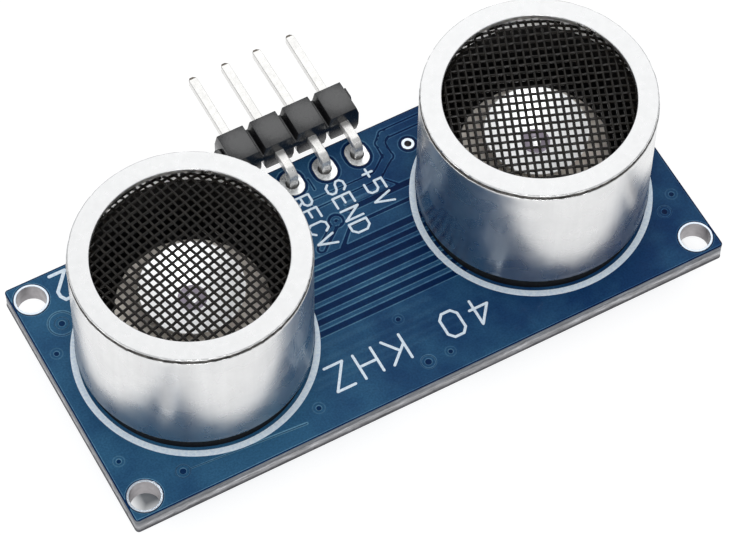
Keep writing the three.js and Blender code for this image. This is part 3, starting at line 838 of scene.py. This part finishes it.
def add_can(side, x):
    """The drawn can: a wall that is worn a little, and a flat lip in a fine groove."""
    radius, foot, top = CAN.radius, CAN.foot, CAN.top
    inner = radius - CAN.wall
    shoulder = top - 0.34
    wall = [(radius, foot + 0.3 + (shoulder - foot - 0.5) * i / 26) for i in range(27)]
    profile = [(inner, foot + 0.04), (inner + 0.05, foot), (radius - 0.01, foot),
               (radius + 0.03, foot + 0.02), (radius + 0.035, foot + 0.06), (radius, foot + 0.20)]
    profile += wall
    groove = len(profile) + 2
    profile += [(radius, shoulder - 0.05), (radius - 0.012, shoulder - 0.015),
                (radius - 0.04, shoulder), (radius - 0.13, shoulder + 0.01),
                (radius - 0.14, shoulder + 0.03), (radius - 0.14, top - 0.10),
                (radius - 0.075, top - 0.075), (radius - 0.06, top - 0.04),
                (radius - 0.09, top - 0.01), (radius - 0.13, top)]
    mouth, under = CAN.mouth, top - CAN.lip
    profile += [(radius - 0.17, top), (7.2, top), (mouth + 0.07, top), (mouth + 0.04, top),
                (mouth + 0.012, top - 0.012), (mouth, top - 0.04),
                (mouth, under + 0.04), (mouth + 0.04, under), (7.2, under), (inner, under)]
    phase = 4.0 if x > 0 else 11.0

    def worn(r, z, a):
        if r < radius - 0.2:
            return r, z
        if z > shoulder - 0.06:
            chip = round_noise(a, 24, phase)
            return r + 0.04 * min(chip, 0.0), z - 0.15 * abs(chip) * (z < top - 0.02)
        swell = round_noise(a, 2.2, z * 0.12 + phase)
        return r - 0.016 * (1 + swell) * min(1.0, (z - foot) / 1.5, (shoulder - z) / 1.0), z

    segments = 256
    verts, faces = lathe(profile, x, 0.0, segments, worn)
    # The groove's faces take the dark seam material, which is partly painted shade.
    seam = range(groove, groove + 4)
    # The lip's faces take the darker copy of the aluminium, which is painted shade.
    lip = range(groove + 7, groove + 11)
    build = Build().add(verts, faces)
    build.marks = [1 if i // segments in seam else 2 if i // segments in lip else 0
                   for i in range(len(faces))]
    make_piece(f"{side}_can_shell", build, [CAN_METAL, SEAM_OXIDE_AND_SHADE, LIP_METAL_SHADED],
               [f"{side}_can"], sharp=50.0)


def add_screen(side, x):
    """The woven screen: two families of wires that pass over and under each other. It is
    pressed to a shallow cup, so it is flat in the middle and turns down at its rim."""
    weave = SCREENS[side]
    tilt = math.radians(weave["tilt"])
    across = Vector((math.cos(tilt), math.sin(tilt)))
    along = across.orthogonal()
    radius, reach, steps = WIRE.radius, WIRE.reach, WIRE.steps
    ring = circle(1.0, segments=WIRE.sides)

    def level(u, v):
        out = math.hypot(u, v) - WIRE.flat
        if out <= 0:
            return WIRE.level
        out = min(out, WIRE.bend * 0.96)
        return WIRE.level - WIRE.bend + math.sqrt(WIRE.bend ** 2 - out ** 2)

    def wire(build, number, family):
        pitch_here, pitch_cross = weave["pitch"][family], weave["pitch"][1 - family]
        offset = number * pitch_here
        half = math.sqrt(reach ** 2 - offset ** 2)
        count = int(half / pitch_cross * steps)
        line = []
        for i in range(-count, count + 1):
            run = i * pitch_cross / steps
            u, v = (offset, run) if family == 0 else (run, offset)
            phase = math.cos(math.pi * i / steps) * (-1) ** number * (-1 if family == 0 else 1)
            spot = across * u + along * v
            line.append(Vector((x + spot.x, spot.y, level(u, v) + WIRE.crimp * radius * phase)))
        if len(line) < 3:
            return
        sideways = (across if family == 0 else along).to_3d()
        rings = []
        for i, point in enumerate(line):
            upward = heading(line, i).cross(sideways).normalized()
            rings.append([point + (sideways * c + upward * s) * radius for c, s in ring])
        build.add(*loft(rings))

    build = Build()
    for family in (0, 1):
        most = int(reach / weave["pitch"][family])
        for number in range(-most, most + 1):
            wire(build, number, family)
    make_piece(f"{side}_woven_screen", build, WIRE_BLACK, [f"{side}_mesh"], sharp=70.0)


def add_turned(name, profile, x, segments, material, replaces=(), sharp=38.0):
    build = Build().add(*lathe(profile, x, 0.0, segments))
    make_piece(name, build, material, replaces, sharp)


def add_transducer_inside(side, x):
    """What stands in the can: the black cup, the bright ring on it that seats the screen,
    the metal plate and the spun cone."""
    cup = soften([(0.0, 0.0, 0.0), (7.72, 0.0, 0.05), (7.72, 1.27, 0.05), (7.6, 1.27, 0.02),
                  (7.6, SEAT.foot, 0.02), (7.15, SEAT.foot, 0.02), (7.15, 2.8, 0.3),
                  (4.4, 2.8, 0.1), (4.4, 4.2, 0.12), (0.0, 4.2, 0.0)], 0.05, 5)
    add_turned(f"{side}_base_cup", cup, x, 128, BASE_BLACK, [f"{side}_base"])
    low, high = SEAT.foot, SEAT.top
    seat_ring = soften([(7.60, low), (7.60, high), (7.14, high), (7.14, low)], 0.06, 4)
    add_turned(f"{side}_screen_seat", seat_ring, x, 128, CONE_METAL)
    plate = soften([(0.0, 5.0, 0.0), (5.2, 5.0, 0.08), (5.2, 5.3, 0.08), (0.0, 5.3, 0.0)], 0.05, 4)
    add_turned(f"{side}_vibrating_plate", plate, x, 128, PLATE_METAL,
               [f"{side}_plate"])
    hub, low, seat = CONE.hub, CONE.hub_top, CONE.seat
    rim, high = CONE.rim, CONE.rim_top
    outside, inside = [], []
    for i in range(13):
        t = i / 12
        r = hub + 0.12 + (rim - 0.03 - hub - 0.12) * t
        z = low + 0.03 + (high - 0.08 - low - 0.03) * t ** 1.15
        outside.append((r + 0.03, z - 0.045))
        inside.append((r - 0.03, z + 0.045))
    profile = [(0.0, seat), (hub, seat), (hub, low - 0.12), (hub + 0.07, low - 0.03)] + outside
    profile += [(rim + 0.05, high - 0.07), (rim + 0.03, high), (rim - 0.03, high)] + inside[::-1]
    profile += [(hub, low + 0.08), (hub - 0.12, low + 0.05), (0.0, low + 0.05)]
    add_turned(f"{side}_spun_cone", profile, x, 128, CONE_METAL,
               [f"{side}_cone"], sharp=30.0)
    # The glue bead round the hub is dark partly as painted reflection of the steep cone wall there.
    bead = [(0.34, 0.03), (0.40, 0.13), (0.55, 0.20), (0.76, 0.24), (0.92, 0.24), (0.98, 0.17),
            (0.84, 0.12), (0.70, 0.03)]
    add_turned(f"{side}_cone_glue_dark_reflection", [(r, low + h) for r, h in bead], x, 64, GLUE_AND_DARK_REFLECTION)
    tip = [(0.0, 0.03), (0.30, 0.03), (0.30, 0.15), (0.24, 0.23), (0.12, 0.27), (0.0, 0.28)]
    add_turned(f"{side}_cone_rivet", [(r, low + h) for r, h in tip], x, 48, CONE_METAL)


def add_terminals(side, x):
    for end, offset in TERMINAL_OFFSETS.items():
        radius = TERMINAL.pin
        pin = [(0.0, -3.35), (0.30, -3.33), (0.43, -3.27), (radius, -3.14), (radius, 3.40),
               (0.44, 3.53), (0.32, 3.59), (0.0, 3.6)]
        add_turned(f"{side}_pin_{end}", pin, x + offset, 40, TIN,
                   [f"{side}_terminal_{end}"])
        build = solder_joint(x + offset, 0.0, radius, TERMINAL.joint, TERMINAL.joint_height)
        make_piece(f"{side}_joint_{end}", build, SOLDER, [f"{side}_solder_{end}"])


def solder_joint(x, y, pin, foot, height):
    """A hollow-sided cone of solder on the board's back, a little uneven in height."""
    steps = 14
    profile = [(pin - 0.04, BOARD.back - PLATING.proud)]
    for i in range(steps + 1):
        t = i / steps
        r = pin + 0.02 + (foot - pin - 0.02) * (1 - t) ** 2.1
        profile.append((r, BOARD.back - PLATING.proud - 0.02 - height * t))
    profile.append((pin - 0.04, profile[-1][1] - 0.01))

    def uneven(r, z, a):
        depth = (BOARD.back - z) / height
        lean = 0.05 * math.sin(a + x) + 0.05 * noise.noise(Vector((math.cos(a) * 2, x, y)))
        return r, z + lean * height * max(0.0, depth)

    return Build().add(*lathe(profile, x, y, 48, uneven))


def add_transducers():
    for side, x in SIDES.items():
        add_can(side, x)
        add_screen(side, x)
        add_transducer_inside(side, x)
        add_terminals(side, x)
        for node, material in (("piezo", PIEZO), ("damper", SILICONE),
                               ("lead_inner", COPPER), ("lead_outer", COPPER)):
            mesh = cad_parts[f"{side}_{node}"].data
            mesh.materials.clear()
            mesh.materials.append(material)


# ---- Pin header ----

HOUSING = Sizes(start=10.3, depth=2.5, height=2.54, floor=0.08, flare=0.27,
                top_groove=0.75, slit=1.16, slit_neck=0.50)


def bevelled(verts, faces, offset, segments=2, least=28.0):
    """The closed shape with its sharp edges rounded."""
    mesh = bpy.data.meshes.new("bevel_work")
    mesh.from_pydata(verts, [], faces)
    shape = bmesh.new()
    shape.from_mesh(mesh)
    bpy.data.meshes.remove(mesh)
    bmesh.ops.recalc_face_normals(shape, faces=shape.faces)
    sharp = [e for e in shape.edges if e.calc_face_angle(0.0) > math.radians(least)]
    bmesh.ops.bevel(shape, geom=sharp, offset=offset, segments=segments, profile=0.5,
                    affect="EDGES", clamp_overlap=True)
    shape.verts.index_update()
    verts = [tuple(v.co) for v in shape.verts]
    faces = [[v.index for v in f.verts] for f in shape.faces]
    shape.free()
    return verts, faces


def block(low, high, draft=0.0):
    """A block whose sides, where there is a draft, lean in above and below its middle."""
    (x0, y0, z0), (x1, y1, z1) = low, high
    levels = [(z0, draft), ((z0 + z1) / 2, 0.0), (z1, draft)] if draft else [(z0, 0.0), (z1, 0.0)]
    return loft([[(x, y, z) for x, y in rectangle(x0 + lean, y0 + lean, x1 - lean, y1 - lean)]
                 for z, lean in levels])


def soft_block(low, high, radius, segments=2, draft=0.0):
    return bevelled(*block(low, high, draft), radius, segments)


def add_header_housing():
    half, height = PITCH / 2, HOUSING.height
    floor, flare = half - HOUSING.floor, half - HOUSING.flare
    lower = [(floor, HOUSING.slit), (floor - 0.03, HOUSING.slit_neck), (flare, 0.0)]
    upper = [(floor, height - HOUSING.top_groove), (flare, height)]
    below, above = [], []
    for centre in HEADER_PLACES:
        for line, corners in ((below, lower), (above, upper)):
            line += [(centre - u, z) for u, z in corners]
            line += [(centre + u, z) for u, z in reversed(corners)]
    outline = below + above[::-1]
    near, far = HOUSING.start, HOUSING.start + HOUSING.depth
    verts = [(x, y, z) for y in (near, far) for x, z in outline]
    count = len(outline)
    faces = [list(range(count)), list(range(2 * count - 1, count - 1, -1))]
    faces += [[i, count + i, count + (i + 1) % count, (i + 1) % count] for i in range(count)]
    build = Build().add(*bevelled(verts, faces, 0.045))
    # What is left of the web where the strip was snapped off at each end.
    right = HEADER_PLACES[-1] + floor
    left = HEADER_PLACES[0] - floor
    build.add(*soft_block((right - 0.1, 11.55, 1.35), (right + 0.1, 12.45, 2.18), 0.03, draft=0.05))
    build.add(*soft_block((left - 0.42, 11.30, 1.30), (left + 0.1, 12.15, 2.12), 0.04, draft=0.07))
    make_piece("header_strip", build, HEADER_BLACK, ["header_housing"], sharp=32.0)


def add_header_pins():
    half, level, bend = 0.32, 1.27, 0.43
    for i, x in enumerate(HEADER_PLACES):
        lean = 0.05 * math.sin(2.3 * i + 0.6)
        path = [(x + lean, 18.7, level), (x + lean, 18.64, level), (x + lean, 18.42, level),
                (x + lean * 0.5, 15.5, level), (x, 12.9, level), (x, HEADER_ROW + bend, level)]
        scales = [0.42, 0.56, 1.0, 1.0, 1.0, 1.0]
        for k in range(1, 9):
            a = math.pi / 2 * k / 8
            path.append((x, HEADER_ROW + bend - bend * math.sin(a), level - bend + bend * math.cos(a)))
            scales.append(1.0)
        path += [(x, HEADER_ROW, -2.78), (x, HEADER_ROW, -3.09), (x, HEADER_ROW, -3.15)]
        scales += [1.0, 0.62, 0.5]
        build = Build().add(*sweep(path, half, half, 0.045, scales))
        # The cut ends and the chamfer at the outer end show the bare metal: two caps, then eight faces
        # a step.
        build.marks[0] = build.marks[1] = 1
        build.marks[2:18] = [1] * 16
        make_piece(f"header_bent_pin_{i + 1}", build, [TIN, PIN_END],
                   [f"header_pin_{i + 1}"], sharp=28.0)
        joint = solder_joint(x, HEADER_ROW, 0.36, HEADER_PAD.joint, HEADER_PAD.joint_height)
        make_piece(f"header_joint_{i + 1}", joint, SOLDER, [f"header_solder_{i + 1}"])


# ---- Parts on the back ----


CHIPS = {"amplifier_chip": 14, "controller_chip": 14, "driver_chip": 16}
PASSIVES = [f"resistor_{i + 1}" for i in range(10)] + [f"capacitor_{i + 1}" for i in range(8)]
CHIP_PITCH = 1.27
TRANSISTOR_LEGS = [(-0.95, 1), (0.95, 1), (0.0, -1)]
# Tracks on the back, and the plated holes under the mask where some of them end.
BACK_TRACKS = [
    [(-3.71, 8.0), (-3.71, 6.9), (-5.2, 5.4), (-7.3, 5.4)],
    [(-1.17, 8.0), (-1.17, 6.6), (-2.54, 5.2), (-2.54, 2.6)],
    [(1.37, 8.0), (1.37, 6.4), (2.54, 5.2), (2.54, 2.6)],
    [(3.91, 8.0), (3.91, 6.9), (5.65, 6.9)], [(-7.3, 3.7), (-4.9, 3.7), (-3.81, 2.7)],
    [(3.81, 2.7), (4.4, 3.2), (7.7, 3.2)], [(9.5, 3.2), (10.2, 3.175)],
    [(-3.81, -3.8), (-4.9, -4.9), (-4.9, -5.5)], [(3.81, -3.8), (4.9, -4.9), (4.9, -5.5)],
    [(-1.27, -3.8), (-1.27, -4.8), (-2.1, -5.6)], [(1.27, -3.8), (1.27, -4.8), (2.1, -5.6)],
    [(-10.0, 3.81), (-9.1, 3.7)], [(-10.0, -3.81), (-9.2, -4.4)],
    [(-10.0, 1.27), (-9.0, 2.2), (-5.6, 2.2)], [(-16.0, 3.81), (-16.7, 4.9)],
    [(-16.0, 2.54), (-17.6, 2.54), (-18.9, 2.7)], [(-16.0, -3.81), (-16.7, -4.6)],
    [(-18.5, -4.6), (-19.9, -3.4), (-19.9, 5.0), (-18.7, 6.6), (-18.3, 6.6)],
    [(-18.5, -6.4), (-20.6, -5.2), (-20.6, 3.4)], [(10.0, -1.905), (7.4, -3.0), (5.6, -3.0)],
    [(10.0, 1.905), (6.0, 1.905)], [(16.0, 4.445), (16.8, 4.6)], [(16.0, -4.445), (16.8, -4.6)],
    [(16.0, -3.175), (19.6, -3.175), (20.3, -3.9)],
    [(16.0, 3.175), (19.4, 3.175), (20.4, 4.2), (20.4, 6.2)],
    [(-16.0, -8.6), (-6.6, -8.6), (-4.9, -7.3)],
    [(4.9, -7.3), (6.6, -8.6), (16.0, -8.6), (17.6, -6.9)],
]
BACK_VIAS = [(-5.6, 2.2), (-20.6, 3.4), (5.6, -3.0), (6.0, 1.905), (20.3, -3.9), (20.4, 6.2),
             (-16.0, -8.6), (-12.4, 7.6), (-6.4, -1.9), (12.6, 7.9), (6.3, -4.9), (13.0, -7.0),
             (-13.0, -6.6), (0.0, 6.4)]


def back_place(node):
    """The change from a part's own axes to its place on the back: u runs along its length
    and h stands off the board."""
    low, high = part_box(node)
    middle = (low + high) / (2 * MM)
    turned = (high - low).y > (high - low).x

    def change(u, v, h=0.0):
        x, y = (v, u) if turned else (u, -v)
        return middle.x + x, middle.y + y, BOARD.back - h

    return change


def make_back_piece(name, node, build, materials, replaces=(), sharp=30.0):
    make_piece(name, build.moved(back_place(node)), materials, replaces, sharp)


def half_length(node):
    low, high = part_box(node)
    return max((high - low).x, (high - low).y) / (2 * MM)


def lead_places(leads):
    half = leads // 2
    return [((i - (half - 1) / 2) * CHIP_PITCH, out) for i in range(half) for out in (-1, 1)]


def add_fillet(build, u, half_u, start, end, height, mark, along_v=True):
    """A hollow wedge of solder that falls from height at start to the land at end."""
    reach = end - start
    curve = [(start, 0.0), (end, 0.0), (end, 0.02), (start + 0.55 * reach, 0.02 + 0.16 * height),
             (start + 0.22 * reach, 0.5 * height), (start, height)]
    sides = [[(side, out, h) if along_v else (out, side, h) for out, h in curve]
             for side in (u - half_u, u + half_u)]
    build.add(*loft(sides), mark)


def add_leads(node, places, bends, radius, section, fillet):
    """Bent leads, each with a fillet at its end. Bends hold how far out and how high."""
    build = Build()
    start, end, height = fillet
    for u, out in places:
        path = round_path([(u, out * far, high) for far, high in bends], radius)
        build.add(*sweep(path, *section))
        add_fillet(build, u, section[0] + 0.03, out * start, out * end, height, 1)
    make_back_piece(f"{node}_leads", node, build, [TIN, SOLDER])


def add_chip(node, leads):
    half = half_length(node)
    build = Build().add(*soft_block((-half, -1.95, 0.1), (half, 1.95, 1.5), 0.05, draft=0.13))
    dot = [(0.0, 1.47), (0.42, 1.47), (0.42, 1.505), (0.38, 1.51), (0.36, 1.503), (0.0, 1.503)]
    build.add(*lathe(dot, -half + 0.95, 1.05, 32))
    make_back_piece(f"{node}_body", node, build, EPOXY, [node])
    add_leads(node, lead_places(leads), [(1.85, 0.85), (2.32, 0.85), (2.52, 0.10), (3.0, 0.10)],
              0.14, (0.21, 0.10, 0.02), (2.96, 3.24, 0.17))


def add_passive(node, glaze, height):
    build = Build().add(*soft_block((-0.78, -0.37, 0.03), (0.78, 0.37, height - 0.03), 0.03))
    for end in (-1, 1):
        inner, outer = sorted((end * 0.5, end * 0.8))
        build.add(*soft_block((inner, -0.4, 0.0), (outer, 0.4, height), 0.05, 3), 1)
        add_fillet(build, 0.0, 0.38, end * 0.78, end * 1.18, 0.62 * height, 2, along_v=False)
    make_back_piece(f"{node}_body", node, build, [glaze, PAD_TIN, SOLDER], [node])


def add_crystal():
    build = Build().add(*soft_block((-2.5, -1.6, 0.0), (2.5, 1.6, 0.42), 0.10, 3))
    build.add(*soft_block((-2.22, -1.32, 0.3), (2.22, 1.32, 1.2), 0.22, 4))
    make_back_piece("crystal_can", "crystal", build, CRYSTAL_CASE, ["crystal"], 40.0)


def add_transistor():
    build = Build().add(*soft_block((-1.45, -0.65, 0.1), (1.45, 0.65, 1.1), 0.04, draft=0.07))
    make_back_piece("transistor_body", "transistor", build, EPOXY, ["transistor"])
    add_leads("transistor", TRANSISTOR_LEGS, [(0.55, 0.55), (0.86, 0.55), (0.95, 0.07), (1.2, 0.07)],
              0.10, (0.19, 0.065, 0.015), (1.17, 1.40, 0.12))


def lands():
    """Every solder land on the back: its part, its middle and its half sizes."""
    found = []
    for node, leads in CHIPS.items():
        found += [(node, u, out * 2.86, 0.30, 0.56) for u, out in lead_places(leads)]
    for node in PASSIVES:
        found += [(node, end * 0.86, 0.0, 0.42, 0.47) for end in (-1, 1)]
    found += [("crystal", u, v, 0.65, 0.60) for u in (-2.2, 2.2) for v in (-1.15, 1.15)]
    found += [("transistor", u, out * 1.1, 0.32, 0.42) for u, out in TRANSISTOR_LEGS]
    return found


def land_outline(land, grow):
    node, u, v, half_u, half_v = land
    corners = rectangle(u - half_u - grow, v - half_v - grow, u + half_u + grow, v + half_v + grow)
    change = back_place(node)
    return [change(*corner)[:2] for corner in corners]


def add_back_mask():
    relief = Relief()
    border(relief)
    for path in BACK_TRACKS:
        relief.stroke(0.0, path, 0.64)
    for path in BACK_TRACKS:
        relief.stroke(1.0, path, 0.32)
    for x, y in BACK_VIAS:
        relief.covered_via(x, y, 0.40)
    header_rings(relief)
    for x, y in TERMINALS:
        relief.disc(0.0, x, y, TERMINAL.land + 0.26)
    openings = [circle(TERMINAL.land + SLACK, x, y, 48) for x, y in TERMINALS]
    openings += [land_outline(land, 0.04) for land in lands()]
    make_mask("solder_mask_back", relief, openings, to_back)


def add_back_lands():
    build = Build()
    for x, y in TERMINALS:
        land, hole = circle(TERMINAL.land, x, y, 48), circle(TERMINAL.hole, x, y, 32)
        flat_solid(build, [land], [hole], -0.05, PLATING.proud)
    for land in lands():
        outline = soften(land_outline(land, 0.0), 0.06)
        flat_solid(build, [outline], [], -0.07, PLATING.proud)
    make_piece("back_solder_lands", to_back(build), PAD_TIN)


def box_strokes(change, half_u, half_v):
    points = [change(*corner)[:2] for corner in rectangle(-half_u, -half_v, half_u, half_v)]
    return [capsule(a, b, 0.075) for a, b in zip(points, points[1:] + points[:1])]


def add_back_printing():
    """Outlines round the parts on the back, with no lettering."""
    strokes = []
    for node in CHIPS:
        half = half_length(node)
        strokes += box_strokes(back_place(node), half + 0.30, 2.12)
        x, y, _ = back_place(node)(-half - 0.75, 1.75)
        strokes.append(circle(0.20, x, y, 20))
    for node in PASSIVES:
        strokes += box_strokes(back_place(node), 1.45, 0.68)
    strokes += box_strokes(back_place("crystal"), 3.05, 1.98)
    middle = sum(HEADER_PLACES) / len(HEADER_PLACES)
    strokes += box_strokes(lambda u, v: (middle + u, HEADER_ROW + v), 5.10, 1.27)
    build = flat_solid(Build(), strokes, [], INK.foot - 0.06, INK.top)
    make_piece("printing_back", to_back(build), WHITE_INK, sharp=30.0)


def add_back_parts():
    for node, leads in CHIPS.items():
        add_chip(node, leads)
    for node in PASSIVES:
        if node.startswith("resistor"):
            add_passive(node, RESISTOR_GLAZE, 0.45)
        else:
            add_passive(node, CAPACITOR_TAN, 0.8)
    add_crystal()
    add_transistor()


# ---- Stage, lights and camera ----


def add_floor():
    """A pale floor with a faint glow of its own, which stops short under the part."""
    mesh = bpy.data.meshes.new("floor")
    reach = 1.2
    z = (FLOOR_LEVEL - 0.01) * MM
    corners = rectangle(-reach, -reach, reach, reach)
    mesh.from_pydata([(x, y, z) for x, y in corners], [], [[0, 1, 2, 3]])
    paper = Nodes("floor_paper")
    paper.set(Roughness=0.9, Specular_IOR_Level=0.1, Emission_Color=(1, 1, 1, 1))
    paper.feed("Base Color", paper.mottled(0.01, 2.0, (0.3, 0.30), (0.7, 0.33)))
    beside = [paper.span(paper.maths("ABSOLUTE", paper.along(axis)), low * MM, high * MM)
              for axis, low, high in (("X", 20.6, 21.6), ("Y", 7.4, 8.6))]
    strength = paper.span(paper.maths("MAXIMUM", *beside), 0.0, 1.0, 0.80)
    paper.feed("Emission Strength", strength)
    mesh.materials.append(paper.material)
    show("floor", mesh)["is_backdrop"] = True


def add_light(name, place, target, size, power):
    lamp = bpy.data.lights.new(name, "AREA")
    lamp.shape = "DISK"
    lamp.size = size
    lamp.energy = power
    holder = show(name, lamp)
    holder.location = Vector(place)
    aim = Vector(target) - Vector(place)
    holder.rotation_euler = aim.to_track_quat("-Z", "Y").to_euler()
    return holder


def add_cone_fill():
    """A soft lamp for the two cones alone, which the screens would otherwise leave dim."""
    lamp = add_light("cone_fill", (0.03, -0.16, 0.28), (0, 0, 0.006), 0.16, 1.02)
    for kind, extra in (("receiver", "screen_seat"), ("blocker", "can_shell")):
        group = bpy.data.collections.new(f"cone_fill_{kind}")
        for side in SIDES:
            for part in ("spun_cone", "cone_glue_dark_reflection", "cone_rivet", "vibrating_plate", extra):
                group.objects.link(bpy.data.objects[f"{side}_{part}"])
        setattr(lamp.light_linking, f"{kind}_collection", group)


def add_lights():
    world = bpy.data.worlds.new("studio")
    world.use_nodes = True
    background = world.node_tree.nodes["Background"]
    background.inputs["Color"].default_value = (0.96, 0.98, 1.0, 1.0)
    background.inputs["Strength"].default_value = 0.55
    bpy.context.scene.world = world
    add_light("camera_side_key", (-0.10, -0.20, 0.38), (0, 0, 0.005), 0.14, 0.50)
    add_light("overhead_soft", (0.16, 0.28, 0.42), (0, 0, 0), 0.36, 0.37)
    add_light("left_soft", (-0.40, 0.02, 0.22), (0, 0, 0), 0.22, 0.25)
    add_cone_fill()


def add_camera():
    eye = Vector((-62.41, -109.92, 206.78)) * MM
    back = eye.normalized()
    right = Vector((0.404, 0.751, 0.522)).cross(back).normalized()
    up = back.cross(right)
    data = bpy.data.cameras.new("photo_view")
    data.lens = 175.4
    data.sensor_width = 36.0
    data.clip_start = 0.01
    data.clip_end = 10.0
    camera = show("photo_view", data)
    turn = Matrix((right, up, back)).transposed().to_4x4()
    camera.matrix_world = Matrix.Translation(eye) @ turn
    bpy.context.scene.camera = camera


def write_sizes():
    boxes = {"cad": CAD_BOX, "visual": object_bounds()}
    plain = {key: [list(corner) for corner in box] for key, box in boxes.items()}


add_laminate()
add_front_mask()
add_plating()
add_front_printing()
add_transducers()
add_header_housing()
add_header_pins()
add_back_mask()
add_back_lands()
add_back_printing()
add_back_parts()
add_floor()
add_lights()
add_camera()
bpy.context.scene.view_settings.view_transform = "Standard"
write_sizes()
